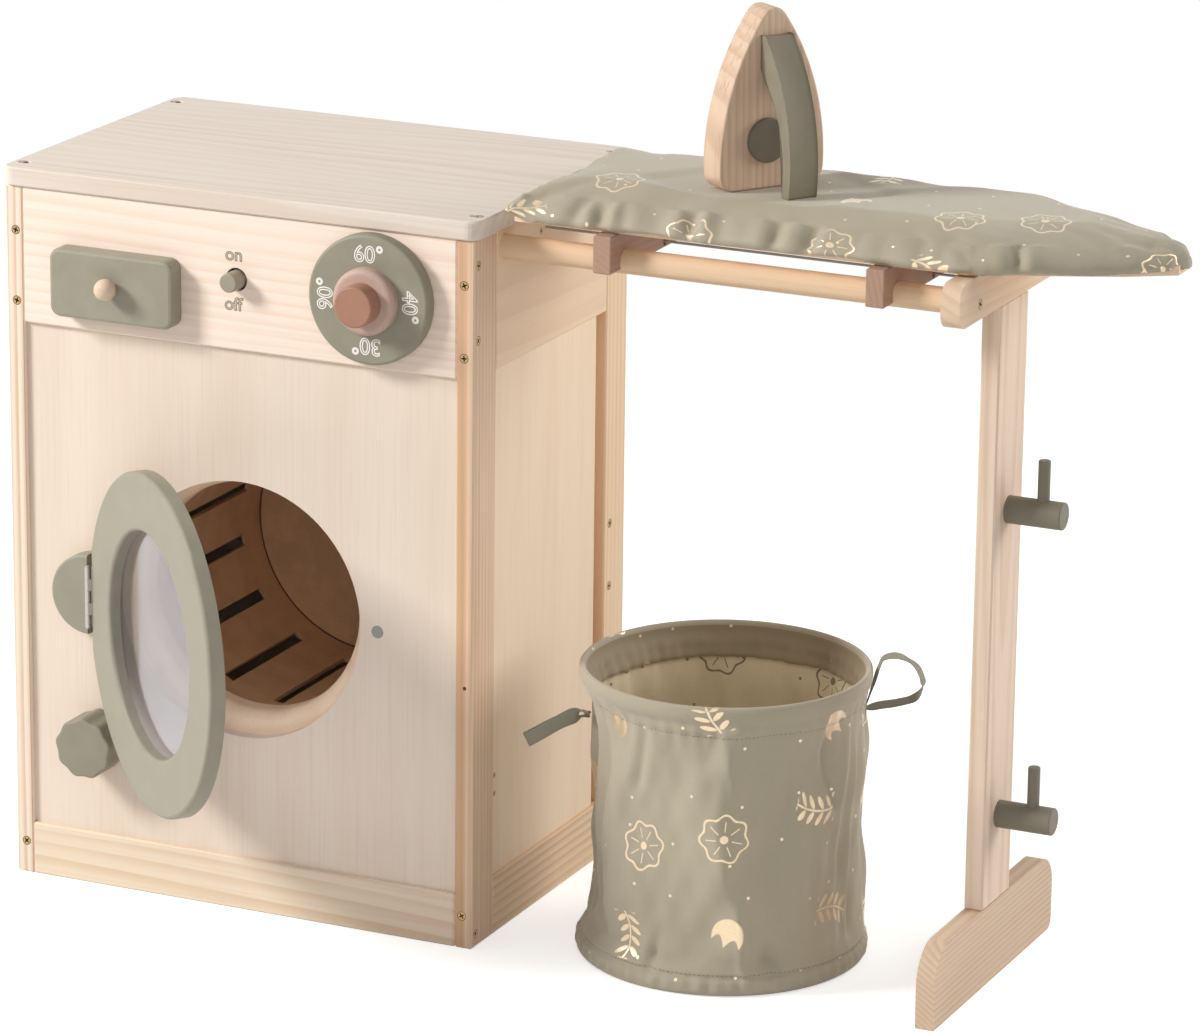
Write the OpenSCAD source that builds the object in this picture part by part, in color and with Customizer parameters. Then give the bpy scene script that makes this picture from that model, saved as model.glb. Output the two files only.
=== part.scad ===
// Toy washing machine in pine, with an ironing board on a stand, an iron and a laundry basket.
// Millimetres. X runs to the right along the front, Y runs to the back, Z is up.
// The origin is on the floor under the middle of the cabinet.

/* [Cabinet] */
// Width over the two sides
cab_w = 380; // [376:1:384]
// Depth over the front and back posts
cab_d = 260; // [258:1:264]
// Height to the upper face of the top board
cab_h = 544; // [542:1:548]
// Thickness of the solid pine boards
board_t = 14; // [13:0.5:15]
// Depth of a corner post from front to back
post_d = 36; // [34:1:38]
// Height of the control panel
panel_h = 102; // [100:1:104]
// Height of the rail under the front panel
front_rail_h = 40.5; // [36:0.5:44]
// How far the front panel sits behind the posts
front_recess = 4; // [3:0.5:5]
// Thickness of the front panel
front_panel_t = 9; // [8:0.5:10]
// Thickness of the side panels
side_panel_t = 6; // [5:0.5:6]

/* [Front opening and drum] */
// Height of the centre of the opening
opening_z = 231; // [230:1:232]
// Height of the axis of the drum
drum_z = 236; // [235:1:237]
// Radius of the round opening in the front panel
opening_r = 97.5; // [96:0.5:98]
// Radius of the throat of the collar behind it
throat_r = 87; // [86:0.5:88]
// Inner radius of the drum
drum_r = 98; // [97:0.5:99]
// Thickness of the drum wall
drum_t = 3; // [2.5:0.5:3]
// Number of slots round the drum
slot_count = 14; // [12:1:16]
// Width of one slot
slot_w = 9; // [7:0.5:11]
// Length of one slot
slot_len = 116; // [100:1:120]

/* [Door] */
// Outer radius of the door ring
door_r = 126; // [124:1:127]
// Radius of the window
window_r = 83; // [80:1:85]
// Thickness of the door ring
door_t = 12; // [12:0.5:12.5]
// How far the door stands open, in degrees
door_open = 40.8; // [5:0.1:110]

/* [Controls] */
// Radius of the dial disc
dial_r = 47.5; // [45:0.5:48]
// Radius of the beech hub on the dial
dial_hub_r = 24.5; // [22:0.5:26]
// Radius of the knob on the hub
dial_knob_r = 15; // [13:0.5:17]
// Radius of the push button
button_r = 7; // [6.5:0.1:7.5]
// Travel of the push button
button_travel = 6; // [4:0.5:7]
// Radius over the lobes of the filter knob
filter_r = 22; // [21:0.5:22]
// Lobes of the filter knob
filter_lobes = 9; // [8:1:10]

/* [Drawer] */
// Width of the drawer front
drawer_w = 101; // [99:1:103]
// Height of the drawer front
drawer_h = 51; // [50:1:52]
// Thickness of the drawer front
drawer_front_t = 14.6; // [13:0.2:16]
// Length of the drawer box
drawer_len = 100; // [80:1:104]

/* [Ironing board and stand] */
// Distance from the middle of the cabinet to the outer face of the stand
stand_x = 551; // [549:1:553]
// Radius of the two dowel rails
rail_r = 9; // [8.5:0.5:9]
// Height of the dowel rails
rail_z = 516; // [516:0.5:517]
// Distance between the axes of the rails
rail_gap = 136; // [134:1:138]
// Width of the padded board
pad_w = 176; // [172:1:180]
// Distance from the middle of the cabinet to the tip of the board
pad_tip = 683; // [679:1:687]
// Height of the upper face of the pad
pad_top = 566; // [562:1:568]

/* [Iron and basket] */
// Length of the iron from heel to tip
iron_len = 128; // [124:1:130]
// Widest part of the iron
iron_w = 88; // [84:1:90]
// Outer radius of the basket
basket_r = 105; // [103:1:107]
// Height of the basket
basket_h = 217; // [212:1:220]

/* [Hidden] */
$fn = 72;
hull_fn = 24;                 // finer steps than this are wasted on a hulled corner
broken_edge = 1.2;            // planed edges are broken by hand
gap = 0.4;                    // between faces that slide past each other
fit = 0.05;                   // radial clearance of a running shaft
seat = 0.02;                  // clearance of a glued dowel
through = 1;                  // overshoot of a cutter

pine = [0.89, 0.79, 0.66];
pink_pine = [0.85, 0.71, 0.58];
ply = [0.90, 0.81, 0.70];
beech = [0.80, 0.62, 0.50];
red_beech = [0.71, 0.50, 0.38];
sage = [0.55, 0.54, 0.46];
sage_cloth = [0.60, 0.59, 0.49];
hardboard = [0.36, 0.24, 0.15];
brass = [0.75, 0.58, 0.28];
zinc = [0.66, 0.67, 0.68];
acrylic = [0.85, 0.88, 0.90, 0.4];
cord_white = [0.92, 0.90, 0.84];

left = -cab_w / 2;
right = cab_w / 2;
front = -cab_d / 2;
back = cab_d / 2;
inner_x = right - board_t;                 // inner face of a post
post_top = cab_h - board_t;
rail_len = cab_d - 2 * post_d;             // side rails run between the posts

top_w = cab_w + 6;
top_front = front - 2.4;
top_back = back + 5;
top_corner_r = 10;

panel_bottom = post_top - panel_h;
control_back = front + board_t;
panel_front = front + front_recess;
panel_back = panel_front + front_panel_t;
side_bottom_h = 44;
side_recess = 4;
side_panel_gap = 10;                       // open groove in front of a back post
side_face = right - side_recess;
back_panel_t = 5;
back_rail_h = 60;
bottom_t = 9;

// screws
screw_r = 1.5;
screw_head_r = 3.5;
screw_head_t = 2.4;
bolt_head_r = 4;
front_screw_z = [497, 444, 25];
front_side_screw_z = [511, 456.5, 10.5];
back_side_screw_z = [511, 10.5];
bearer_screw_z = [262, 213];
front_screw_x = right - 8;
side_screw_in = 6.5;
top_screw_x = top_w / 2 - 11.5;
top_screw_in = 19;
front_screw_len = 50;
side_screw_len = 40;
top_screw_len = 36;
hook_screw_len = 34;
foot_bolt_len = 90;
cross_bolt_len = 62;
bolt_sunk = 0.6;
anchor_len = 10;
anchor_head_r = 2.6;
batten_screw_z = [106, 120];
batten_screw_in = 4;
batten_screw_len = 20;
pin_head_r = 2;
spare_hole_in = 6.6;                       // a spare hole in the front of the right post
spare_hole_z = 199;
spare_hole_r = 1.5;
spare_hole_depth = 8;

// drum, collar and bearings
collar_r = 112;
collar_lip = 14;                          // radius of the collar's rounded lip
collar_len = 25;
drum_front = panel_back + collar_len + 2;
drum_back_y = 86;
drum_floor_t = 6;
drum_len = drum_back_y + drum_floor_t - drum_front;
drum_boss_r = 20;
drum_boss_t = 3.8;
slot_front = front + 75;
slot_turn = 17.4;                             // degrees from the X axis to the first slot
axle_r = 6;
bearer_t = 14;
bearer_h = 75;
bearer_front = drum_back_y + drum_floor_t + drum_boss_t + 0.6;
bearer_y = bearer_front + bearer_t / 2;
bearer_bottom = 200;
axle_cap_y = bearer_front + bearer_t + gap;
axle_end = bearer_front + bearer_t + 6;
axle_cap_r = 11;
batten_front = drum_front + 1;
batten_bottom = 98;
batten_h = drum_z - drum_r - drum_t - 2 - batten_bottom;

// door and hinge
door_z = 226;
hinge_z = 229;
door_back = panel_front - 1;
door_front = door_back - door_t;
hinge_x = -119.5;
hinge_y = door_front - 3;
hinge_len = 46;
knuckles = 5;
barrel_r = 2;
pin_r = 1;
leaf_t = 1;
leaf_clear = barrel_r + 0.3;
leaf_end = 13.5;
block_r = 30.5;
block_t = 13;
pane_r = window_r + 7;
pane_t = 2.2;
pane_inset = 0.2;
magnet_x = 111.4;
magnet_z = 230.3;
magnet_r = 4.75;
magnet_proud = 0.2;
strike_r = 6;
strike_t = 1;

// controls
dial_x = 111;
control_z = 480.5;
dial_t = 10.5;
dial_hub_t = 9;
dial_knob_t = 14.5;
spindle_r = 4;
keeper_r = 10;
keeper_t = 4;
button_out = button_travel + 7;           // pressed home it still stands proud
button_hole_r = 8.75;
button_collar_t = 3;
button_stem_r = 3;
housing_r = 15;
housing_bore_r = 11;
housing_len = 28;
housing_wall = 3;
spring_r = 5.5;
spring_wire_r = 0.6;
spring_turns = 5;
spring_steps = 12;                         // rings in one turn
spring_sides = 6;
filter_x = -118;
filter_z = 115;
filter_t = 29.6;
filter_stem_r = 6;
filter_bore = 20;
filter_keeper_r = 12;
lobe_r = 7;

// drawer
drawer_x = -95.5;
drawer_z = 465.5;
drawer_box_w = 83;
drawer_box_h = 34;
drawer_wall = 6;
drawer_floor_t = 3;
drawer_bottom = 446.3;
drawer_room = 0.6;
knob_r = 8;
knob_neck_r = 3.5;
knob_neck = 2;
runner_len = 96;
runner_w = 6.5;
runner_lip = 6;
runner_h = 24;

// stand and hooks
stand_t = 14;
stand_in = stand_x - stand_t;
mid_y = -13;                               // centre line of the board and stand
rail_y = [mid_y - rail_gap / 2, mid_y + rail_gap / 2];
socket_depth = 12;
cross_h = 32;
cross_top = 537;
cross_len = 214;
cross_corner_r = 12;
column_w = 54;
column_bottom = 59.5;
hook_z = [352, 125.5];
hook_r = 10;
hook_len = 42;
hook_pin_x = stand_x + 26;
hook_pin_r = 4.4;
hook_pin_top = 39;
line_r = 1;
line_z = 515.5;
line_hole_r = 3;
line_depth = 4;
anchor_y = -21;
anchor_z = 514;
batten_x = [270, 476];
board_batten_w = 14;
board_batten_len = 186;
board_bottom = 538;
board_batten_h = 27;
base_t = 7;
base_inset = 9;
pad_left = 198;
pad_shoulder = 550;
pad_hem = 539.6;
pad_edge = 7;
pad_steps = 14;
pad_power = 0.6;
pad_corner_r = 10;

// iron
iron_x = 373;
iron_y = -27;
iron_turn = 58.2;
iron_t = 19;
iron_edge = 3;
iron_wide_z = 25;
iron_tip_r = 7;
iron_rest = pad_top + gap;
handle_w = 22;
handle_outer_r = 116;
handle_t = 12.4;
handle_centre = [73.5, 35.8];              // behind the sole's face, above the heel
button_disc_r = 15;
button_disc_t = 8;
button_disc_z = 40;

// basket
basket_x = 349;
basket_y = -40;
cloth_t = 1;
fold_t = 4.2;
top_hem = 22;
bottom_hem = 13;
wire_r = 1.3;
loop_z = 184;
loop_root_r = 3.2;
loop_t = 1.6;
loop_w = 14;
// Each loop: its place round the basket, its tilt, its length and the radius of its end.
loops = [[25, 42, 47, 17], [205, -27, 47, 6.5]];
basket_foot = 0.2;

// ---------- shared shapes ----------

// A planed board with all twelve edges broken; its low corner is at the origin.
module board(size, edge = broken_edge) {
    hull() {
        translate([edge, edge, 0]) cube([size.x - 2 * edge, size.y - 2 * edge, size.z]);
        translate([edge, 0, edge]) cube([size.x - 2 * edge, size.y, size.z - 2 * edge]);
        translate([0, edge, edge]) cube([size.x, size.y - 2 * edge, size.z - 2 * edge]);
    }
}

// A board given by its low and high corners.
module board_between(low, high, edge = broken_edge) {
    translate(low) board(high - low, edge);
}

// A rectangle with round corners, centred on the origin.
module round_rect(size, r) {
    square([size.x - 2 * r, size.y], center = true);
    square([size.x, size.y - 2 * r], center = true);
    for (x = [-1, 1], y = [-1, 1])
        translate([x * (size.x / 2 - r), y * (size.y / 2 - r)]) circle(r);
}

// A disc whose front rim, at the high end, is rounded.
module turned_disc(r, h, rim) {
    rotate_extrude() {
        square([r, h - rim]);
        square([r - rim, h]);
        translate([r - rim, h - rim]) intersection() {
            circle(rim);
            square(rim + through);
        }
    }
}

// Turns a shape made along +Z so that it comes out of the front.
module facing_front(at) {
    translate(at) rotate([90, 0, 0]) children();
}

// A ring of wire lying flat.
module wire_ring(r, wire) {
    rotate_extrude() translate([r, 0]) circle(wire, $fn = 24);
}

// ---------- screws ----------

// A screw is [place, direction of its head, length, head radius].
function front_screws(side) =
    [for (z = front_screw_z) [[side * front_screw_x, front, z], [90, 0, 0], front_screw_len, screw_head_r]];
function back_screws(side) =
    [for (z = front_screw_z) [[side * front_screw_x, back, z], [-90, 0, 0], front_screw_len, screw_head_r]];
function side_screws(side, y, heights) =
    [for (z = heights) [[side * right, y, z], [0, side * 90, 0], side_screw_len, screw_head_r]];
function front_side_screws(side) = side_screws(side, front + side_screw_in, front_side_screw_z);
function back_side_screws(side) = side_screws(side, back - side_screw_in, back_side_screw_z);
function bearer_screws(side) = side_screws(side, bearer_y, bearer_screw_z);

top_screws = [for (x = [-1, 1], y = [top_front + top_screw_in, top_back - top_screw_in])
    [[x * top_screw_x, y, cab_h], [0, 0, 0], top_screw_len, screw_head_r]];
rail_screws = [for (y = rail_y) [[stand_x, y, rail_z], [0, 90, 0], side_screw_len, bolt_head_r]];
hook_screws = [for (z = hook_z) [[stand_in, mid_y, z], [0, -90, 0], hook_screw_len, screw_head_r]];
column_screws = [
    [[stand_x - stand_t / 2, mid_y, bolt_sunk], [180, 0, 0], foot_bolt_len, bolt_head_r],
    [[stand_x - stand_t / 2, mid_y, cross_top], [0, 0, 0], cross_bolt_len, bolt_head_r]
];
anchor_screw = [[[right, anchor_y, anchor_z], [0, 90, 0], anchor_len, anchor_head_r]];
batten_screws = [for (side = [-1, 1], z = batten_screw_z)
    [[side * side_face, batten_front + batten_screw_in, z], [0, side * 90, 0], batten_screw_len, pin_head_r]];

// A countersunk screw pointing down with its head flush at the origin.
module screw(length, head_r, room = 0) {
    head_t = screw_head_t * head_r / screw_head_r;
    translate([0, 0, -head_t])
        cylinder(h = head_t + room, r1 = screw_r + room, r2 = head_r + room, $fn = 32);
    translate([0, 0, -length - room]) cylinder(h = length, r = screw_r + room, $fn = 24);
}

module screws(list) {
    for (s = list) translate(s[0]) rotate(s[1]) screw(s[2], s[3]);
}

// Drills and countersinks its children for a list of screws.
module drill(list) {
    difference() {
        children();
        for (s = list) translate(s[0]) rotate(s[1]) screw(s[2], s[3], seat);
    }
}

// ---------- cabinet ----------

module top_board() {
    size = [top_w, top_back - top_front];
    color(pine) drill(top_screws)
        translate([0, (top_front + top_back) / 2, post_top]) hull() {
            $fn = hull_fn;
            translate([0, 0, broken_edge])
                linear_extrude(board_t - 2 * broken_edge) round_rect(size, top_corner_r);
            linear_extrude(board_t)
                round_rect(size - [2, 2] * broken_edge, top_corner_r - broken_edge);
        }
}

module post_front(side) {
    x = side > 0 ? inner_x : left;
    color(pine) drill(concat(front_screws(side), front_side_screws(side), top_screws))
        board_between([x, front, 0], [x + board_t, front + post_d, post_top]);
}
module post_front_left() { post_front(-1); }
module post_front_right() {
    difference() {
        post_front(1);
        translate([right - spare_hole_in, front - through, spare_hole_z]) rotate([-90, 0, 0])
            cylinder(h = spare_hole_depth, r = spare_hole_r, $fn = 24);
    }
}

// A back post has a tongue along its inner edge that backs the groove beside the side panel.
module post_back(side) {
    x = side > 0 ? inner_x : left;
    tongue_w = side_face - side_panel_t - inner_x;
    color(pine) drill(concat(back_screws(side), back_side_screws(side), bearer_screws(side), top_screws)) {
        board_between([x, back - post_d, 0], [x + board_t, back, post_top]);
        translate([side > 0 ? inner_x : -inner_x - tongue_w, back - post_d - side_panel_gap, side_bottom_h])
            cube([tongue_w, side_panel_gap + board_t / 2, panel_bottom - side_bottom_h]);
    }
}
module post_back_left() { post_back(-1); }
module post_back_right() { post_back(1); }

module control_panel() {
    color(pine) drill(concat(front_side_screws(-1), front_side_screws(1))) difference() {
        board_between([-inner_x, front, panel_bottom], [inner_x, control_back, post_top]);
        facing_front([0, control_back + through, control_z]) {
            cylinder(h = board_t + 2 * through, r = button_hole_r);
            translate([dial_x, 0, 0]) cylinder(h = board_t + 2 * through, r = spindle_r + fit);
        }
        translate([drawer_x - drawer_box_w / 2 - drawer_room, front - through, drawer_bottom - drawer_room])
            cube([drawer_box_w + 2 * drawer_room, board_t + 2 * through, drawer_box_h + 3 * drawer_room]);
    }
}

module front_panel() {
    color(ply) difference() {
        translate([-inner_x, panel_front, front_rail_h])
            cube([2 * inner_x, front_panel_t, panel_bottom - front_rail_h]);
        facing_front([0, panel_back + through, opening_z])
            cylinder(h = front_panel_t + 2 * through, r = opening_r);
        facing_front([magnet_x, panel_back + through, magnet_z])
            cylinder(h = front_panel_t + 2 * through, r = magnet_r + seat);
        facing_front([filter_x, panel_back + through, filter_z])
            cylinder(h = front_panel_t + 2 * through, r = filter_stem_r + fit);
    }
}

module front_bottom_rail() {
    color(pine) drill(concat(front_side_screws(-1), front_side_screws(1)))
        board_between([-inner_x, front, 0], [inner_x, control_back, front_rail_h]);
}

module back_rails() {
    color(pine) drill(concat(back_side_screws(-1), back_side_screws(1))) {
        board_between([-inner_x, back - board_t, 0], [inner_x, back, side_bottom_h]);
        board_between([-inner_x, back - board_t, post_top - back_rail_h], [inner_x, back, post_top]);
    }
}

module back_panel() {
    color(ply) translate([-inner_x, back - board_t + side_recess, side_bottom_h])
        cube([2 * inner_x, back_panel_t, post_top - back_rail_h - side_bottom_h]);
}

module side_top_rail(side, more = []) {
    x = side > 0 ? inner_x : left;
    color(side > 0 ? pink_pine : pine)
        drill(concat(front_screws(side), back_screws(side), more))
            board_between([x, -rail_len / 2, panel_bottom], [x + board_t, rail_len / 2, post_top]);
}
module side_top_rail_left() { side_top_rail(-1); }
module side_top_rail_right() {
    difference() {
        side_top_rail(1, anchor_screw);
        for (y = rail_y) translate([right - socket_depth, y, rail_z]) rotate([0, 90, 0])
            cylinder(h = socket_depth + through, r = rail_r + seat);
        translate([right - line_depth, mid_y, line_z]) rotate([0, 90, 0])
            cylinder(h = line_depth + through, r = line_r + seat);
    }
}

module side_bottom_rails() {
    for (side = [-1, 1]) color(side > 0 ? pink_pine : pine)
        drill(concat(front_screws(side), back_screws(side)))
            board_between([side > 0 ? inner_x : left, -rail_len / 2, 0],
                          [side > 0 ? right : -inner_x, rail_len / 2, side_bottom_h]);
}

module side_panels() {
    for (side = [-1, 1]) color(side > 0 ? pink_pine : ply) drill(batten_screws)
        translate([side > 0 ? side_face - side_panel_t : -side_face, -rail_len / 2, side_bottom_h])
            cube([side_panel_t, rail_len - side_panel_gap, panel_bottom - side_bottom_h]);
}

module bottom_board() {
    color(ply) translate([-inner_x, control_back, 0])
        cube([2 * inner_x, cab_d - 2 * board_t, bottom_t]);
}

// The collar leads from the front panel into the drum through a rounded lip.
module drum_collar() {
    color(beech) translate([0, panel_back, drum_z]) rotate([-90, 0, 0]) rotate_extrude() difference() {
        translate([throat_r, 0]) square([collar_r - throat_r, collar_len]);
        translate([throat_r, 0]) difference() {
            translate([-through, -through]) square([collar_lip + through, collar_lip + through]);
            translate([collar_lip, collar_lip]) circle(collar_lip);
        }
    }
}

module drum_bearer() {
    color(pine) drill(concat(bearer_screws(-1), bearer_screws(1))) difference() {
        translate([-inner_x, bearer_front, bearer_bottom]) cube([2 * inner_x, bearer_t, bearer_h]);
        translate([0, bearer_front - through, drum_z]) rotate([-90, 0, 0])
            cylinder(h = bearer_t + 2 * through, r = axle_r + fit);
    }
}

module drum_batten() {
    x = side_face - side_panel_t;
    color(pine) drill(batten_screws)
        translate([-x, batten_front, batten_bottom]) cube([2 * x, board_t, batten_h]);
}

module drawer_runners() {
    color(pine) for (side = [-1, 1]) translate([drawer_x, control_back, 0]) {
        wall = drawer_box_w / 2 + gap;
        x = side > 0 ? wall : -wall - runner_w;
        translate([x, 0, drawer_bottom - gap]) cube([runner_w, runner_len, runner_h]);
        translate([side > 0 ? wall - runner_lip : -wall - runner_w, 0, drawer_bottom - gap - runner_lip])
            cube([runner_w + runner_lip, runner_len, runner_lip]);
    }
}

// ---------- hinge, door and catch ----------

module hinge_block() {
    flat = hinge_x - barrel_r;
    color(sage) intersection() {
        facing_front([flat, panel_front, hinge_z]) turned_disc(block_r, block_t, 2);
        translate([flat - block_r - through, panel_front - block_t, hinge_z - block_r])
            cube([block_r + through, block_t, 2 * block_r]);
    }
}

// One leaf and its knuckles; which = 0 takes the odd knuckles and 1 the even ones.
module hinge_leaf(which) {
    side = which == 0 ? -1 : 1;
    pitch = hinge_len / knuckles;
    leaf_x = side < 0 ? -barrel_r : barrel_r - leaf_t;
    bottom = hinge_z - hinge_len / 2;
    color(zinc) translate([hinge_x, hinge_y, bottom]) difference() {
        union() {
            translate([leaf_x, leaf_clear, 0]) cube([leaf_t, leaf_end - leaf_clear, hinge_len]);
            for (k = [which : 2 : knuckles - 1]) translate([0, 0, k * pitch + fit]) {
                cylinder(h = pitch - 2 * fit, r = barrel_r);
                translate([leaf_x, 0, 0]) cube([leaf_t, leaf_clear + through / 2, pitch - 2 * fit]);
            }
        }
        translate([0, 0, -through]) cylinder(h = hinge_len + 2 * through, r = pin_r + fit);
    }
}
module hinge_leaf_fixed() { hinge_leaf(0); }
module hinge_leaf_door() { opened() hinge_leaf(1); }

module hinge_pin() {
    head_t = 1;
    bottom = hinge_z - hinge_len / 2;
    color(zinc) translate([hinge_x, hinge_y, bottom]) {
        translate([0, 0, -head_t - fit]) cylinder(h = hinge_len + 2 * (head_t + fit), r = pin_r);
        for (z = [-head_t - fit, hinge_len + fit]) translate([0, 0, z])
            cylinder(h = head_t, r = barrel_r - 0.2);
    }
}

// Swings a part that is drawn on the closed door about the hinge pin.
module opened() {
    translate([hinge_x, hinge_y, 0]) rotate([0, 0, -door_open])
        translate([-hinge_x, -hinge_y, 0]) children();
}

module door_profile() {
    outer_round = 3;
    inner_round = 3;
    w = door_r - window_r;
    translate([window_r, 0]) {
        square([w, door_t - outer_round]);
        translate([inner_round, 0]) square([w - inner_round - outer_round, door_t]);
        translate([inner_round, door_t - inner_round]) circle(inner_round);
        translate([w - outer_round, door_t - outer_round]) circle(outer_round);
    }
}

module door_ring() {
    flat = hinge_x + barrel_r;
    color(sage) opened() difference() {
        facing_front([0, door_back, door_z]) rotate_extrude() door_profile();
        facing_front([0, door_back + through, door_z])
            cylinder(h = pane_t + 0.4 + through, r = pane_r + 0.3);
        facing_front([magnet_x, door_back + through, magnet_z])
            cylinder(h = strike_t + through, r = strike_r + seat);
        translate([flat - door_r, door_front - through, door_z - door_r])
            cube([door_r, door_t + 2 * through, 2 * door_r]);
    }
}

module door_pane() {
    color(acrylic) opened() facing_front([0, door_back - pane_inset, door_z])
        cylinder(h = pane_t, r = pane_r);
}

module strike_plate() {
    color(zinc) opened() facing_front([magnet_x, door_back, magnet_z]) cylinder(h = strike_t, r = strike_r);
}

module magnet() {
    color(zinc) facing_front([magnet_x, panel_back, magnet_z])
        cylinder(h = front_panel_t + magnet_proud, r = magnet_r);
}

// ---------- drum ----------

module drum_shell() {
    color(hardboard) translate([0, 0, drum_z]) rotate([-90, 0, 0]) difference() {
        translate([0, 0, drum_front]) cylinder(h = drum_len, r = drum_r + drum_t);
        translate([0, 0, drum_front - through]) cylinder(h = 2 * cab_d, r = drum_r);
        for (i = [0 : slot_count - 1]) rotate([0, 0, slot_turn + i * 360 / slot_count])
            translate([drum_r - through, -slot_w / 2, slot_front])
                cube([drum_t + 2 * through, slot_w, slot_len]);
    }
}

module drum_floor() {
    color(hardboard) translate([0, drum_back_y, drum_z]) rotate([-90, 0, 0]) difference() {
        union() {
            cylinder(h = drum_floor_t, r = drum_r - seat);
            cylinder(h = drum_floor_t + drum_boss_t, r = drum_boss_r);
        }
        translate([0, 0, -through])
            cylinder(h = drum_floor_t + drum_boss_t + 2 * through, r = axle_r + seat);
    }
}

module drum_axle() {
    color(beech) translate([0, 0, drum_z]) rotate([-90, 0, 0]) {
        translate([0, 0, drum_back_y]) cylinder(h = axle_end - drum_back_y, r = axle_r);
        translate([0, 0, axle_cap_y]) cylinder(h = axle_end - axle_cap_y, r = axle_cap_r);
    }
}

// ---------- drawer ----------

module drawer_front() {
    soft = 2.5;
    size = [drawer_w, drawer_h];
    color(sage) facing_front([drawer_x, front - gap, drawer_z]) hull() {
        $fn = hull_fn;
        linear_extrude(drawer_front_t - soft) round_rect(size, 8);
        linear_extrude(drawer_front_t - 0.7) round_rect(size - [1.5, 1.5], 7.3);
        linear_extrude(drawer_front_t) round_rect(size - [2, 2] * soft, 5.5);
    }
}

module drawer_box() {
    color(ply) translate([drawer_x - drawer_box_w / 2, front - gap, drawer_bottom]) difference() {
        cube([drawer_box_w, drawer_len, drawer_box_h]);
        translate([drawer_wall, -through, drawer_floor_t])
            cube([drawer_box_w - 2 * drawer_wall, drawer_len - drawer_wall + through, drawer_box_h]);
    }
}

module drawer_knob() {
    face = front - gap - drawer_front_t;
    color(beech) facing_front([drawer_x + 0.5, face, drawer_z + 1.5]) {
        translate([0, 0, knob_neck + knob_r * 0.8]) sphere(knob_r);
        cylinder(h = knob_neck + knob_r, r = knob_neck_r);
    }
}

// ---------- push button ----------

module push_button() {
    face = front - button_out;
    collar = control_back + gap;
    color(sage) facing_front([0, 0, control_z]) {
        translate([0, 0, -collar]) turned_disc(button_r, collar - face, 1.2);
        translate([0, 0, -collar - button_collar_t]) cylinder(h = button_collar_t, r = keeper_r);
        translate([0, 0, -control_back - housing_len + 1])
            cylinder(h = housing_len - button_collar_t - 1, r = button_stem_r);
    }
}

module button_housing() {
    color(pine) facing_front([0, control_back + housing_len, control_z]) difference() {
        cylinder(h = housing_len, r = housing_r);
        translate([0, 0, housing_wall]) cylinder(h = housing_len, r = housing_bore_r);
        translate([0, 0, -through]) cylinder(h = housing_len, r = button_stem_r + fit);
    }
}

// A compression spring: a circle of wire swept along a helix, ring by ring.
module spring(length) {
    rings = spring_turns * spring_steps;
    rise = length - 2 * spring_wire_r;
    points = [for (i = [0 : rings], s = [0 : spring_sides - 1])
        let (turn = 360 * i / spring_steps, side = 360 * s / spring_sides,
             r = spring_r + spring_wire_r * cos(side))
        [r * cos(turn), r * sin(turn), spring_wire_r + rise * i / rings + spring_wire_r * sin(side)]];
    tube = [for (i = [0 : rings - 1], s = [0 : spring_sides - 1])
        let (a = i * spring_sides + s, b = i * spring_sides + (s + 1) % spring_sides)
        [a, a + spring_sides, b + spring_sides, b]];
    ends = [[for (s = [0 : spring_sides - 1]) s],
            [for (s = [spring_sides - 1 : -1 : 0]) rings * spring_sides + s]];
    polyhedron(points, concat(tube, ends));
}

module button_spring() {
    seat_y = control_back + housing_len - housing_wall;
    room = seat_y - control_back - gap - button_collar_t;
    color(zinc) facing_front([0, seat_y - fit, control_z]) spring(room - 2 * fit);
}

// ---------- dial ----------

dial_front = front - gap;
hub_front = dial_front - dial_t;
dial_knob_back = hub_front - dial_hub_t;

module bored(at, depth, r) {
    difference() {
        children();
        facing_front([at.x, at.y + through, at.z]) cylinder(h = depth + through, r = r + seat);
    }
}

module dial_disc() {
    at = [dial_x, dial_front, control_z];
    color(sage) bored(at, dial_t + through, spindle_r) facing_front(at) turned_disc(dial_r, dial_t, 2.5);
}
module dial_hub() {
    at = [dial_x, hub_front, control_z];
    color(beech) bored(at, dial_hub_t + through, spindle_r)
        facing_front(at) turned_disc(dial_hub_r, dial_hub_t, 4.5);
}
module dial_knob() {
    at = [dial_x, dial_knob_back, control_z];
    color(red_beech) bored(at, 8, spindle_r) facing_front(at) turned_disc(dial_knob_r, dial_knob_t, 1.6);
}
module dial_spindle() {
    tail = control_back + gap + keeper_t;
    color(beech) {
        facing_front([dial_x, tail, control_z]) cylinder(h = tail - dial_knob_back + 7.9, r = spindle_r);
        facing_front([dial_x, tail, control_z]) cylinder(h = keeper_t, r = keeper_r);
    }
}

// ---------- filter knob ----------

module filter_knob() {
    ring_r = filter_r - lobe_r;
    color(sage) bored([filter_x, panel_front - gap, filter_z], filter_bore, filter_stem_r)
        facing_front([filter_x, panel_front - gap, filter_z]) intersection() {
            linear_extrude(filter_t) {
                circle(ring_r + 2);
                for (i = [0 : filter_lobes - 1]) rotate(i * 360 / filter_lobes)
                    translate([ring_r, 0]) circle(lobe_r);
            }
            turned_disc(filter_r + 0.2, filter_t, 3);
        }
}
module filter_stem() {
    tail = panel_back + gap + keeper_t;
    color(beech) facing_front([filter_x, tail, filter_z]) {
        cylinder(h = tail - panel_front + gap + filter_bore - fit, r = filter_stem_r);
        cylinder(h = keeper_t, r = filter_keeper_r);
    }
}

// ---------- stand ----------

module dowel_rails() {
    start = right - socket_depth + gap;
    color(pine) drill(rail_screws) for (y = rail_y)
        translate([start, y, rail_z]) rotate([0, 90, 0]) cylinder(h = stand_in - start, r = rail_r);
}

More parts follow.
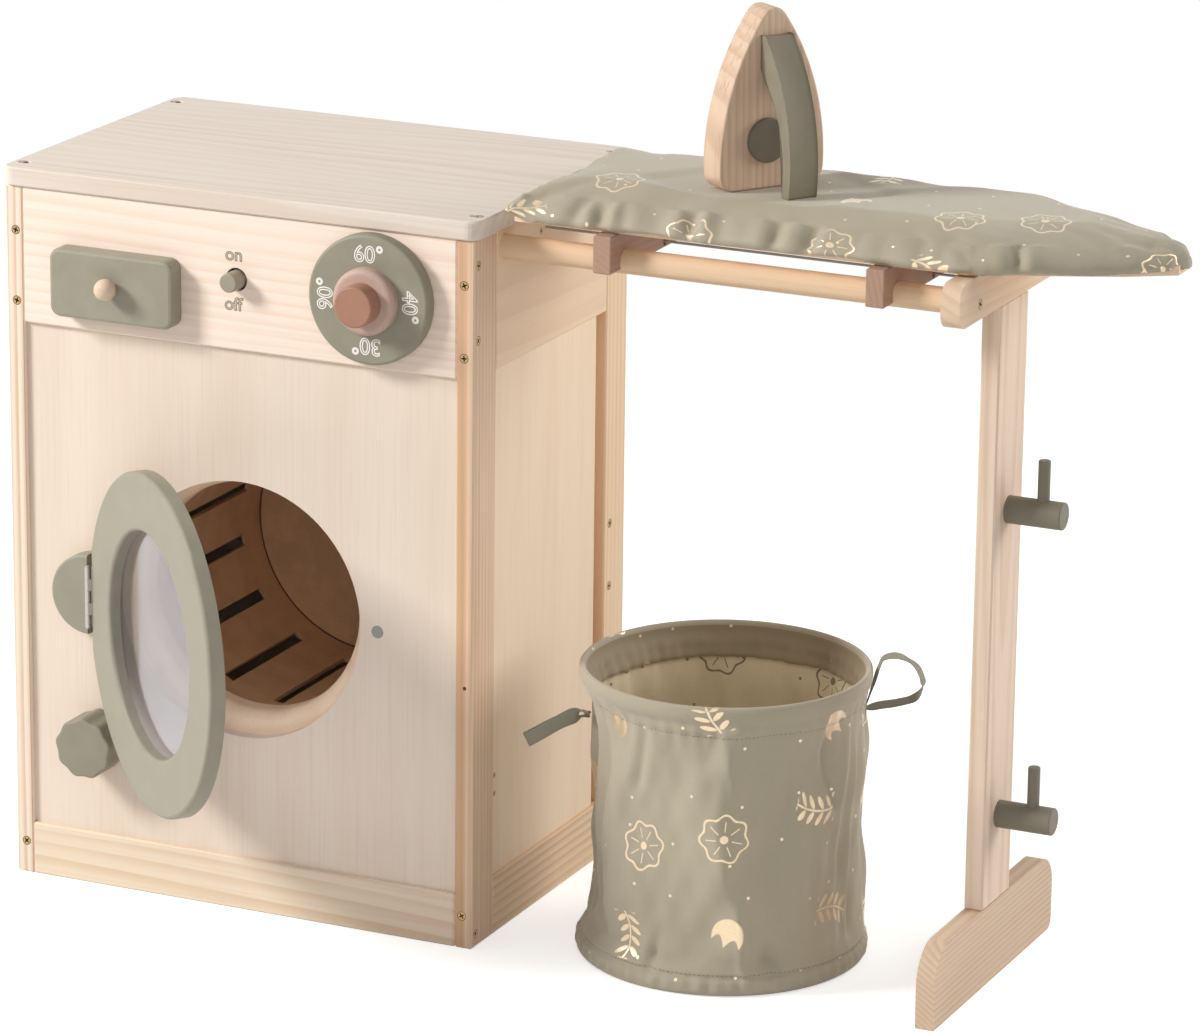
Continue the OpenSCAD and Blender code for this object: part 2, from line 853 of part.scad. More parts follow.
module crosspiece() {
    color(pine) drill(concat(rail_screws, column_screws)) difference() {
        translate([stand_in, mid_y, cross_top - cross_h / 2]) rotate([90, 0, 90])
            linear_extrude(stand_t) round_rect([cross_len, cross_h], cross_corner_r);
        translate([stand_in - through, mid_y, line_z]) rotate([0, 90, 0])
            cylinder(h = line_depth + through, r = line_r + seat);
    }
}

module column() {
    top = cross_top - cross_h;
    color(pine) drill(concat(column_screws, hook_screws))
        board_between([stand_in, mid_y - column_w / 2, column_bottom],
                      [stand_x, mid_y + column_w / 2, top]);
}

// The foot's toe rises straight, then sweeps up in a quarter round to the flat under the column.
module foot() {
    toe = front;
    heel = 104;
    toe_r = 28;
    heel_r = 24;
    sole_r = 8;
    color(pine) drill(column_screws)
    translate([stand_in, 0, 0]) rotate([90, 0, 90]) linear_extrude(stand_t) {
        translate([toe, 0]) square([heel - sole_r - toe, column_bottom - toe_r]);
        translate([toe + toe_r, 0]) square([heel - toe - toe_r - heel_r, column_bottom]);
        translate([toe + toe_r, column_bottom - toe_r]) circle(toe_r);
        translate([heel - heel_r - through, sole_r])
            square([heel_r + through, column_bottom - heel_r - sole_r]);
        translate([heel - sole_r, sole_r]) circle(sole_r);
        translate([heel - heel_r, column_bottom - heel_r]) circle(heel_r);
    }
}

module hook_pegs() {
    color(sage) drill(hook_screws) for (z = hook_z) difference() {
        translate([stand_x, mid_y, z]) rotate([0, 90, 0]) turned_disc(hook_r, hook_len, 1);
        translate([hook_pin_x, mid_y, z]) cylinder(h = hook_r + through, r = hook_pin_r + seat);
    }
}

module hook_pins() {
    color(sage) for (z = hook_z)
        translate([hook_pin_x, mid_y, z]) turned_disc(hook_pin_r, hook_pin_top, 0.8);
}

module clothes_line() {
    start = right - line_depth + seat;
    color(cord_white) translate([start, mid_y, line_z]) rotate([0, 90, 0])
        cylinder(h = stand_in + line_depth - seat - start, r = line_r);
}

module wood_screws() {
    color(brass) {
        for (side = [-1, 1]) {
            screws(front_screws(side));
            screws(back_screws(side));
            screws(front_side_screws(side));
            screws(back_side_screws(side));
            screws(bearer_screws(side));
        }
        screws(top_screws);
        screws(rail_screws);
        screws(hook_screws);
        screws(column_screws);
        screws(anchor_screw);
        screws(batten_screws);
    }
}

// ---------- ironing board ----------

// Half the width of the padded board at x; the nose narrows by a power law.
function pad_half(x) =
    x < pad_shoulder ? pad_w / 2
                     : pad_w / 2 * pow((pad_tip - x) / (pad_tip - pad_shoulder), pad_power);

module pad_outline(inset) {
    xs = [for (i = [0 : pad_steps]) pad_shoulder + (pad_tip - pad_shoulder) * i / pad_steps];
    points = concat([[pad_left, pad_w / 2]], [for (x = xs) [x, pad_half(x)]]);
    mirrored = [for (i = [len(points) - 2 : -1 : 0]) [points[i].x, -points[i].y]];
    translate([0, mid_y]) offset(r = pad_corner_r, $fn = hull_fn) offset(delta = -pad_corner_r - inset)
        polygon(concat(points, mirrored));
}

module base_outline(grow = 0) {
    nose = pad_tip - base_inset;
    half = pad_w / 2 - base_inset + grow;
    translate([0, mid_y]) polygon([
        [pad_left + base_inset / 2 - grow, half], [pad_shoulder - 6, half], [nose - 32, half - 46],
        [nose + grow, 12 + grow], [nose + grow, -12 - grow],
        [nose - 32, -half + 46], [pad_shoulder - 6, -half], [pad_left + base_inset / 2 - grow, -half]
    ]);
}

module ironing_base() {
    color(ply) translate([0, 0, board_bottom]) linear_extrude(base_t) base_outline();
}

module ironing_battens() {
    color(red_beech) for (x = batten_x) difference() {
        board_between([x, mid_y - board_batten_len / 2, board_bottom - board_batten_h],
                      [x + board_batten_w, mid_y + board_batten_len / 2, board_bottom], 0.8);
        for (y = rail_y) translate([x - through, y, rail_z]) rotate([0, 90, 0])
            cylinder(h = board_batten_w + 2 * through, r = rail_r + fit);
        translate([x - through, mid_y, line_z]) rotate([0, 90, 0])
            cylinder(h = board_batten_w + 2 * through, r = line_hole_r);
    }
}

module ironing_cover() {
    color(sage_cloth) difference() {
        hull() {
            translate([0, 0, pad_hem]) linear_extrude(pad_top - pad_hem - pad_edge) pad_outline(0);
            translate([0, 0, pad_hem])
                linear_extrude(pad_top - pad_hem - pad_edge / 3) pad_outline(pad_edge / 3);
            translate([0, 0, pad_hem]) linear_extrude(pad_top - pad_hem) pad_outline(pad_edge);
        }
        translate([0, 0, board_bottom]) linear_extrude(base_t + 0.1) base_outline(0.3);
    }
}

// ---------- iron ----------

// Places a part drawn with the sole's face on the XZ plane, heel down, facing -Y.
module on_board() {
    translate([iron_x, iron_y, iron_rest]) rotate([0, 0, iron_turn]) children();
}

// A pointed arch: where two circles cross, with the tip rounded off.
module sole_outline(inset = 0) {
    half = iron_w / 2;
    rise = iron_len + 3 - iron_wide_z;
    reach = (rise * rise - half * half) / (2 * half);
    offset(r = iron_tip_r, $fn = hull_fn) offset(delta = -iron_tip_r - inset) intersection() {
        translate([-reach, iron_wide_z]) circle(half + reach, $fn = 180);
        translate([reach, iron_wide_z]) circle(half + reach, $fn = 180);
        translate([-iron_w, 0]) square([2 * iron_w, iron_len]);
    }
}

module iron_sole() {
    color(pine) on_board() rotate([90, 0, 0]) translate([0, 0, -iron_t]) hull() {
        translate([0, 0, iron_edge]) linear_extrude(iron_t - 2 * iron_edge) sole_outline();
        linear_extrude(iron_t) sole_outline(iron_edge);
    }
}

// The handle is part of a ring that leans on the sole near its tip and stands on its free end.
module iron_handle() {
    color(sage) on_board() translate([-handle_w / 2, 0, 0]) rotate([90, 0, 90]) linear_extrude(handle_w)
        intersection() {
            translate([handle_centre.x, handle_centre.y]) difference() {
                circle(handle_outer_r, $fn = 180);
                circle(handle_outer_r - handle_t, $fn = 180);
            }
            translate([-handle_outer_r, 0]) square([handle_outer_r, iron_len - 2]);
        }
}

module iron_disc() {
    color(sage) on_board() facing_front([0, 0, button_disc_z])
        turned_disc(button_disc_r, button_disc_t, 1.5);
}

// ---------- laundry basket ----------

module basket_profile() {
    inner = basket_r - fold_t - cloth_t;
    translate([basket_r - cloth_t, basket_foot]) square([cloth_t, basket_h - basket_foot]);
    translate([inner, basket_h - cloth_t]) square([fold_t + cloth_t, cloth_t]);
    translate([inner, basket_h - top_hem]) square([cloth_t, top_hem]);
    translate([0, basket_foot]) square([basket_r, cloth_t]);
    translate([inner, basket_foot]) square([cloth_t, bottom_hem]);
}

module basket_cloth() {
    color(sage_cloth) translate([basket_x, basket_y, 0]) rotate_extrude() basket_profile();
}

module basket_wires() {
    r = basket_r - cloth_t - (fold_t - cloth_t) / 2;
    color(zinc) translate([basket_x, basket_y, 0]) {
        translate([0, 0, basket_h - cloth_t - wire_r - 0.2]) wire_ring(r, wire_r);
        translate([0, 0, basket_foot + cloth_t + wire_r + 0.2]) wire_ring(r, wire_r);
    }
}

// A loop of webbing that stands out from the wall like a drop, its two ends sewn on together.
module basket_loops() {
    color(sage_cloth) for (loop = loops)
        translate([basket_x, basket_y, loop_z]) rotate([0, 0, loop[0]])
            translate([basket_r + fit + loop_root_r, loop_w / 2, 0]) rotate([90, 0, 0])
                linear_extrude(loop_w) rotate(loop[1]) difference() {
                    loop_shape(loop[2], loop[3], 0);
                    loop_shape(loop[2], loop[3], loop_t);
                }
}

module loop_shape(length, end_r, inset) {
    hull() {
        circle(loop_root_r - inset);
        translate([length - end_r, 0]) circle(end_r - inset);
    }
}

// ---------- one line for each sub-part ----------

top_board();
post_front_left();
post_front_right();
post_back_left();
post_back_right();
control_panel();
front_panel();
front_bottom_rail();
back_rails();
back_panel();
side_top_rail_left();
side_top_rail_right();
side_bottom_rails();
side_panels();
bottom_board();
drum_collar();
drum_bearer();
drum_batten();
hinge_block();
hinge_leaf_fixed();
hinge_pin();
magnet();
drawer_runners();
button_housing();
dowel_rails();
crosspiece();
column();
foot();
hook_pegs();
hook_pins();
clothes_line();
wood_screws();
door_ring();
door_pane();
hinge_leaf_door();
strike_plate();
drawer_front();
drawer_box();
drawer_knob();
push_button();
button_spring();
dial_disc();
dial_hub();
dial_knob();
dial_spindle();
drum_shell();
drum_floor();
drum_axle();
filter_knob();
filter_stem();
ironing_base();
ironing_battens();
ironing_cover();
iron_sole();
iron_handle();
iron_disc();
basket_cloth();
basket_wires();
basket_loops();
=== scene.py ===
import math

import bpy
import numpy as np
from mathutils import Matrix, Vector


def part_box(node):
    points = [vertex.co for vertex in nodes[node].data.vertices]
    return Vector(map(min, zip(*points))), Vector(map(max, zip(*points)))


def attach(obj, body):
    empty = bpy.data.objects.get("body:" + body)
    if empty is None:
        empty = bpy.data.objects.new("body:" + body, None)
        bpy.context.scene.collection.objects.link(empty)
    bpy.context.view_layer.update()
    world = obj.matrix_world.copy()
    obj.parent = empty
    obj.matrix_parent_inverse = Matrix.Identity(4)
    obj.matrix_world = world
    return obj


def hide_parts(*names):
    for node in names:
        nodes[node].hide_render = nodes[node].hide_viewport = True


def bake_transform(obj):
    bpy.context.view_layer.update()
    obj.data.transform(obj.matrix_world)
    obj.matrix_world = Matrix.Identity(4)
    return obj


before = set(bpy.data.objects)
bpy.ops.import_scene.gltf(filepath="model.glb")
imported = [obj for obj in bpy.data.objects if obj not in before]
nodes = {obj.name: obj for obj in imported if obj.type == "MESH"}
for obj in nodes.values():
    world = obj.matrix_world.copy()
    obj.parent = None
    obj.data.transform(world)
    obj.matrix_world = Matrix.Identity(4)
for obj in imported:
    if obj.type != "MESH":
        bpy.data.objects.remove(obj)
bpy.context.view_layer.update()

MM = 0.001

# ---------------------------------------------------------------- sizes and places, in metres

IRON_TURN = math.radians(56.0)
IRON_AT = Vector((0.370, -0.024, 0.5664))
PAD_MIDDLE = -0.013
PAD_SHOULDER = 0.550
PAD_TIP = 0.683
BASKET_AT = (0.349, -0.040)
BASKET_R = 0.105
BASKET_H = 0.217
DIAL_AT = (0.111, 0.4805)
# the faces that lettering is printed on, in millimetres
DIAL_FACE = -140.9
PANEL_FACE = -130.0


def show(name, data):
    """A new object in the scene that holds this mesh, curve, lamp or camera."""
    made = bpy.data.objects.new(name, data)
    bpy.context.scene.collection.objects.link(made)
    return made


# ---------------------------------------------------------------- camera

CAMERA_AT = Vector((1.9125, -3.6701, 1.4967))
AZIMUTH = math.radians(24.636)
ELEVATION = math.radians(16.526)
ROLL = math.radians(0.658)
LENS = 173.17
SENSOR = 36


def make_camera():
    """A pinhole at CAMERA_AT that looks back along its azimuth and elevation, rolled about its own axis."""
    back = Vector((math.sin(AZIMUTH) * math.cos(ELEVATION), -math.cos(AZIMUTH) * math.cos(ELEVATION),
                   math.sin(ELEVATION)))
    level = Vector((math.cos(AZIMUTH), math.sin(AZIMUTH), 0))
    up = back.cross(level)
    right = level * math.cos(ROLL) + up * math.sin(ROLL)
    camera = show("camera", bpy.data.cameras.new("camera"))
    axes = Matrix((right, back.cross(right), back)).transposed().to_4x4()
    camera.matrix_world = Matrix.Translation(CAMERA_AT) @ axes
    camera.data.lens = LENS
    camera.data.sensor_width = SENSOR
    bpy.context.scene.camera = camera


make_camera()

# ---------------------------------------------------------------- finishes


class Value:
    """What a node gives out. A sign between two of these, or one and a number, adds the math node for it."""

    def __init__(self, owner, socket):
        self.owner = owner
        self.socket = socket

    def __add__(self, other):
        return self.owner.math("ADD", self, other)

    def __sub__(self, other):
        return self.owner.math("SUBTRACT", self, other)

    def __rsub__(self, other):
        return self.owner.math("SUBTRACT", other, self)

    def __mul__(self, other):
        return self.owner.math("MULTIPLY", self, other)

    def __truediv__(self, other):
        return self.owner.math("DIVIDE", self, other)

    def __abs__(self):
        return self.owner.math("ABSOLUTE", self)


class Nodes:
    """A node tree, cleared and then built node by node."""

    def __init__(self, tree, output):
        self.tree = tree
        self.tree.nodes.clear()
        self.output = self.add(output)

    def add(self, kind, **settings):
        node = self.tree.nodes.new(kind)
        for key, value in settings.items():
            setattr(node, key, value)
        return node

    def join(self, source, socket):
        """Links an output to a socket, or sets the socket to a plain value."""
        source = source.socket if isinstance(source, Value) else source
        if isinstance(source, bpy.types.NodeSocket):
            self.tree.links.new(source, socket)
        else:
            socket.default_value = source

    def math(self, operation, a, b=0.0, c=0.0, clamp=False):
        node = self.add("ShaderNodeMath", operation=operation, use_clamp=clamp)
        for socket, value in zip(node.inputs, (a, b, c)):
            self.join(value, socket)
        return Value(self, node.outputs[0])

    def most(self, *values):
        """The greatest of these."""
        found = values[0]
        for value in values[1:]:
            found = self.math("MAXIMUM", found, value)
        return found

    def vector(self, operation, a, b=(0, 0, 0)):
        node = self.add("ShaderNodeVectorMath", operation=operation)
        self.join(a, node.inputs[0])
        self.join(b, node.inputs["Scale"] if operation == "SCALE" else node.inputs[1])
        return Value(self, node.outputs["Value"] if operation in ("LENGTH", "DISTANCE") else node.outputs[0])

    def split(self, vector):
        node = self.add("ShaderNodeSeparateXYZ")
        self.join(vector, node.inputs[0])
        return [Value(self, output) for output in node.outputs]

    def gather(self, x, y, z=0.0):
        node = self.add("ShaderNodeCombineXYZ")
        for socket, value in zip(node.inputs, (x, y, z)):
            self.join(value, socket)
        return Value(self, node.outputs[0])

    def noise(self, vector, scale, detail=3.0, rough=0.5):
        node = self.add("ShaderNodeTexNoise")
        self.join(vector, node.inputs["Vector"])
        node.inputs["Scale"].default_value = scale
        node.inputs["Detail"].default_value = detail
        node.inputs["Roughness"].default_value = rough
        return Value(self, node.outputs[0])

    def chance(self, cell):
        """A random colour and a random number for each cell of a grid."""
        node = self.add("ShaderNodeTexWhiteNoise", noise_dimensions="3D")
        self.join(cell, node.inputs["Vector"])
        return Value(self, node.outputs["Color"]), Value(self, node.outputs["Value"])

    def ramp(self, value, low, high, to_low=0.0, to_high=1.0, smooth=True):
        """value mapped from low..high to to_low..to_high, with soft ends."""
        node = self.add("ShaderNodeMapRange", interpolation_type="SMOOTHSTEP" if smooth else "LINEAR")
        for socket, v in zip(node.inputs, (value, low, high, to_low, to_high)):
            self.join(v, socket)
        return Value(self, node.outputs[0])

    def fall(self, value, low, high):
        """1 below low, 0 above high, with soft ends."""
        return self.ramp(value, low, high, 1.0, 0.0)

    def mix(self, factor, a, b):
        node = self.add("ShaderNodeMix", data_type="RGBA")
        self.join(factor, node.inputs[0])
        for value, socket in ((a, node.inputs[6]), (b, node.inputs[7])):
            self.join((*value, 1) if isinstance(value, tuple) else value, socket)
        return Value(self, node.outputs[2])

    def seen_directly(self):
        """1 for rays that come from the eye, off a gloss or through the pane, 0 for all others."""
        rays = self.add("ShaderNodeLightPath").outputs
        return self.most(*(rays[kind] for kind in ("Is Camera Ray", "Is Glossy Ray", "Is Transmission Ray")))


class Finish(Nodes):
    """A procedural material."""

    def __init__(self, name):
        self.material = bpy.data.materials.new(name)
        self.material.use_nodes = True
        super().__init__(self.material.node_tree, "ShaderNodeOutputMaterial")
        self.shader = self.add("ShaderNodeBsdfPrincipled")
        self.join(self.shader.outputs[0], self.output.inputs["Surface"])

    def place(self):
        """Object coordinates in millimetres."""
        return self.vector("SCALE", self.add("ShaderNodeTexCoord").outputs["Object"], 1 / MM)

    def grain(self, along):
        """The two places across a board and the one along it, in millimetres."""
        x, y, z = self.split(self.place())
        return {"X": (y, z, x), "Y": (x, z, y), "Z": (x, y, z)}[along]

    def bump(self, height, distance, strength):
        node = self.add("ShaderNodeBump")
        node.inputs["Distance"].default_value = distance
        node.inputs["Strength"].default_value = strength
        self.join(height, node.inputs["Height"])
        self.join(node.outputs[0], self.shader.inputs["Normal"])

    def finish(self, colour, roughness, metallic=0.0, specular=0.5):
        self.join((*colour, 1) if isinstance(colour, tuple) else colour, self.shader.inputs["Base Color"])
        self.join(roughness, self.shader.inputs["Roughness"])
        self.join(metallic, self.shader.inputs["Metallic"])
        self.shader.inputs["Specular IOR Level"].default_value = specular
        return self.material


def shade(colour, by):
    """The same colour, this many times as bright."""
    return tuple(min(1.0, c * by) for c in colour)


PALE = (0.86, 0.74, 0.62)
STRIPE = (0.74, 0.49, 0.28)


def pine(name, along, heart, ring, lean, light, dark, depth, seed, wander, streaks, tint=None):
    """Solid pine. Rings are distances from a leaning heart line that runs along the board, bent by slow
    noise; each ring fades from pale early wood to a thin dark line of late wood.

    heart: millimetres from the frame's middle to the heart line, across the board
    ring: millimetres between rings        lean: drift of the heart line for each millimetre along
    depth: strength of the dark lines      seed: shifts the noise from board to board
    wander: how many rings the noise may shift them        streaks: strength of long fine streaks
    tint: (first, last, colour) a band across the board, in millimetres on its first axis, and its colour
    """
    f = Finish(name)
    across_a, across_b, length = f.grain(along)
    slow = f.gather(across_a, across_b, length * 0.16)
    slow = f.vector("ADD", slow, (seed * 37.0, seed * 91.0, seed * 53.0))
    shift = (f.noise(slow, 0.012, 1.0) - 0.5) * (2.0 * wander * ring)
    a = f.math("MULTIPLY_ADD", length, lean[0], -heart[0]) + across_a
    b = f.math("MULTIPLY_ADD", length, lean[1], -heart[1]) + across_b
    phase = f.math("FRACT", (f.vector("LENGTH", f.gather(a, b)) + shift) / ring)
    late = f.ramp(phase, 0.25, 0.88) * f.fall(phase, 0.90, 1.0)
    uneven = f.ramp(f.noise(f.vector("ADD", slow, (7.0, 3.0, 1.0)), 0.023, 2.0), 0.30, 0.70, 0.35, 1.0)
    late = late * uneven * depth
    fibre = f.noise(f.gather(across_a, across_b, length * 0.03), 1.4, 4.0, 0.65)
    long_streak = f.noise(f.gather(across_a, across_b, length * 0.012), 0.34, 3.0, 0.6)
    if tint:
        first, last, tone = tint
        soft = 1.5
        band = f.ramp(across_a, first - soft, first + soft) * f.fall(across_a, last - soft, last + soft)
        light = f.mix(band * 0.9, light, tone)
    colour = f.mix(late, light, dark)
    colour = f.mix(f.ramp(fibre, 0.3, 0.75, 0.0, 0.10), colour, shade(dark, 0.72))
    colour = f.mix(f.ramp(long_streak, 0.50, 0.72, 0.0, streaks), colour, shade(dark, 0.9))
    f.bump(f.math("MULTIPLY_ADD", late, -0.6, fibre), 0.00012, 0.5)
    return f.finish(colour, f.ramp(fibre, 0.2, 0.8, 0.50, 0.66), specular=0.32)


def plywood(name, along, light, figure, seed):
    """A rotary-cut veneer: slow bands drawn out along the board, with short fine pores."""
    f = Finish(name)
    across_a, across_b, length = f.grain(along)
    drawn_out = f.gather(across_a, across_b, length * 0.09)
    drawn_out = f.vector("ADD", drawn_out, (seed * 31.0, seed * 17.0, seed * 71.0))
    band = f.noise(drawn_out, 0.030, 3.0, 0.55)
    streak = f.noise(f.gather(across_a, across_b, length * 0.02), 0.55, 4.0, 0.6)
    colour = f.mix(f.ramp(band, 0.38, 0.72, 0.0, 0.55), light, figure)
    colour = f.mix(f.ramp(streak, 0.45, 0.75, 0.0, 0.22), colour, shade(figure, 0.8))
    f.bump(streak, 0.00008, 0.4)
    return f.finish(colour, f.ramp(streak, 0.2, 0.8, 0.52, 0.66), specular=0.3)


def beech(name, light, fleck, along="Z", seed=0.0):
    """Close-grained beech: an even colour with fine short flecks along the grain."""
    f = Finish(name)
    across_a, across_b, length = f.grain(along)
    short = f.vector("ADD", f.gather(across_a, across_b, length * 0.16), (seed * 13.0,) * 3)
    flecks = f.noise(short, 1.1, 3.0, 0.6)
    cloud = f.noise(short, 0.09, 2.0)
    colour = f.mix(f.ramp(flecks, 0.42, 0.72, 0.0, 0.5), light, fleck)
    colour = f.mix(f.ramp(cloud, 0.35, 0.7, 0.0, 0.3), colour, shade(light, 0.86))
    f.bump(flecks, 0.00008, 0.4)
    return f.finish(colour, f.ramp(cloud, 0.3, 0.7, 0.46, 0.58), specular=0.35)


def paint(name, colour, worn=1.0):
    """Matt paint rolled on wood: a faint orange peel, slight cloudiness, and a paler rub on the edges."""
    f = Finish(name)
    place = f.place()
    cloud = f.noise(place, 0.05, 3.0)
    peel = f.noise(place, 1.7, 2.0, 0.5)
    tone = f.mix(f.ramp(cloud, 0.3, 0.7), shade(colour, 0.95), shade(colour, 1.05))
    bevel = f.add("ShaderNodeBevel", samples=4)
    bevel.inputs["Radius"].default_value = 0.0012
    edge = f.vector("DISTANCE", bevel.outputs[0], f.add("ShaderNodeNewGeometry").outputs["Normal"])
    rub = f.ramp(edge, 0.25, 0.8) * f.ramp(f.noise(place, 0.4, 2.0), 0.45, 0.7, 0.0, 0.30 * worn)
    tone = f.mix(rub, tone, shade(colour, 1.5))
    f.bump(peel, 0.00006, 0.35)
    return f.finish(tone, f.ramp(cloud, 0.3, 0.7, 0.48, 0.60), specular=0.35)


def metal(name, colour, roughness):
    """Plated steel with a soft brushed scatter in its gloss."""
    f = Finish(name)
    brushed = f.noise(f.place(), 2.2, 3.0, 0.6)
    tone = f.mix(f.ramp(brushed, 0.3, 0.7), shade(colour, 0.9), colour)
    f.bump(brushed, 0.00003, 0.3)
    return f.finish(tone, f.ramp(brushed, 0.3, 0.7, roughness * 0.8, roughness * 1.25), metallic=1.0)


def hardboard(name, seam=None):
    """Brown pressed fibreboard: fine fibres lying every way, smooth and a little waxy; its tones are set
    paler than the board's own brown, as painted light inside the drum. seam is the height of the drum's axis
    and the radius past which the disc's cut edge shows dark, in millimetres."""
    f = Finish(name)
    place = f.place()
    fibres = f.noise(place, 1.2, 4.0, 0.7)
    cloud = f.noise(place, 0.04, 3.0)
    # both fibre tones are paler than the board's own brown: painted light inside the drum
    tone = f.mix(f.ramp(fibres, 0.35, 0.7), (0.68, 0.43, 0.245), (0.78, 0.51, 0.305))
    tone = f.mix(f.ramp(cloud, 0.35, 0.7, 0.0, 0.35), tone, (0.44, 0.28, 0.165))
    if seam:
        axis, edge = seam
        x, _, z = f.split(place)
        out = f.vector("LENGTH", f.gather(x, z - axis))
        tone = f.mix(f.ramp(out, edge - 0.3, edge + 0.2), tone, (0.14, 0.085, 0.045))
    f.bump(fibres, 0.00008, 0.4)
    return f.finish(tone, 0.55, specular=0.25)


def clear_acrylic():
    """A clear sheet with a polished face."""
    f = Finish("clear_acrylic")
    f.shader.inputs["Transmission Weight"].default_value = 1.0
    f.shader.inputs["IOR"].default_value = 1.49
    haze = f.ramp(f.noise(f.place(), 0.02, 2.0), 0.3, 0.7, 0.03, 0.07)
    return f.finish((0.70, 0.73, 0.84), haze)


def twisted_cord():
    """White cord whose strands wind round it. Its colour is set to a grey as painted shade, darkest in the
    grooves between the strands.
    """
    f = Finish("twisted_cord")
    x, _, z = f.split(f.place())
    strands = f.math("SINE", (x + z * 2.2) * 2.6)
    # the grey and its darker grooves are painted shade on a white cord
    tone = f.mix(f.ramp(strands, -0.8, 0.8), (0.26, 0.245, 0.22), (0.60, 0.58, 0.53))
    f.bump(strands, 0.0002, 0.8)
    return f.finish(tone, 0.85, specular=0.2)


CLOTH = (0.428, 0.376, 0.282)
FOIL = (0.80, 0.64, 0.43)
# the print's painted shadow on the cloth's reverse
PAINTED_PRINT_SHADOW = (0.10, 0.07, 0.04)
WEAVE = "weave"
# how much the print is enlarged, and the pitch of its motifs and of its dots before that, in millimetres
PRINT_SIZE = 1.56
MOTIF_CELL = 51.0
DOT_CELL = 27.0


def turned(f, at, angle):
    """A flat position turned by an angle in radians."""
    x, y, _ = f.split(at)
    cosine, sine = f.math("COSINE", angle), f.math("SINE", angle)
    return x * cosine + y * sine, y * cosine - x * sine


def printed_motifs(f, at):
    """Foil motifs scattered one to a cell, each with its own turn and offset: an outlined blossom, a solid
    tulip head or a leaf sprig, picked by the cell's random number; between them lie small dots."""
    at = f.vector("SCALE", at, 1 / PRINT_SIZE)
    cell_at = f.vector("SCALE", at, 1 / MOTIF_CELL)
    corner = f.vector("FLOOR", cell_at)
    shifts, spin = f.chance(corner)
    shift_x, shift_y, pick = f.split(shifts)
    local = f.vector("SUBTRACT", f.vector("SUBTRACT", cell_at, corner), (0.5, 0.5, 0.0))
    local = f.vector("SUBTRACT", f.vector("SCALE", local, MOTIF_CELL),
                     f.gather((shift_x - 0.5) * 24.0, (shift_y - 0.5) * 24.0))
    u, v = turned(f, local, spin * 6.2832)
    radius = f.vector("LENGTH", f.gather(u, v))
    angle = f.math("ARCTAN2", v, u)

    def line(distance, half):
        return f.fall(abs(distance), half * 0.6, half * 1.3)

    # blossom: a wavy rim, a small eye and a short line to each petal
    rim = radius - f.math("MULTIPLY_ADD", f.math("COSINE", angle * 7.0), 0.9, 10.4)
    spoke = line(f.math("SINE", angle * 3.5) * radius, 0.9)
    spoke = spoke * f.ramp(radius, 3.2, 3.8) * f.fall(radius, 8.0, 8.6)
    blossom = f.most(line(rim, 0.55), spoke, f.fall(radius, 1.6, 2.1))
    # tulip head: a solid cup cut by three points
    cup = f.vector("LENGTH", f.gather(u / 7.0, v / 9.0))
    points = f.math("MULTIPLY_ADD", abs(f.math("SINE", u * 0.45)), -5.5, 6.0)
    tulip = f.fall(cup, 0.93, 1.03) * f.fall(v - points, -0.4, 0.4)
    # sprig: a curved stem with paired leaves
    stem_x = u - v * v * 0.02
    reach = f.fall(abs(v), 10.6, 11.4)
    step = (f.math("FRACT", (v + 20.0) / 5.0) - 0.5) * 5.0
    leaf_v = step - (abs(stem_x) - 3.6) * 0.5
    leaf = f.vector("LENGTH", f.gather((abs(stem_x) - 3.7) / 3.0, leaf_v / 1.35))
    sprig = f.most(line(stem_x, 0.55) * reach, f.fall(leaf, 0.9, 1.08) * reach)
    first = f.math("LESS_THAN", pick, 0.4)
    last = f.math("GREATER_THAN", pick, 0.68)
    motif = blossom * first + sprig * last + tulip * (1.0 - first - last)
    # dots
    dot_at = f.vector("SCALE", at, 1 / DOT_CELL)
    dot_corner = f.vector("FLOOR", dot_at)
    jitter, _ = f.chance(f.vector("ADD", dot_corner, (11.0, 5.0, 2.0)))
    away = f.vector("SUBTRACT", f.vector("SUBTRACT", dot_at, dot_corner), (0.2, 0.2, 0.0))
    away = f.vector("SUBTRACT", away, f.vector("SCALE", jitter, 0.6))
    dx, dy, _ = f.split(f.vector("SCALE", away, DOT_CELL))
    dot = f.fall(f.vector("LENGTH", f.gather(dx, dy)), 0.65, 0.85)
    return f.math("MAXIMUM", motif, dot, clamp=True)


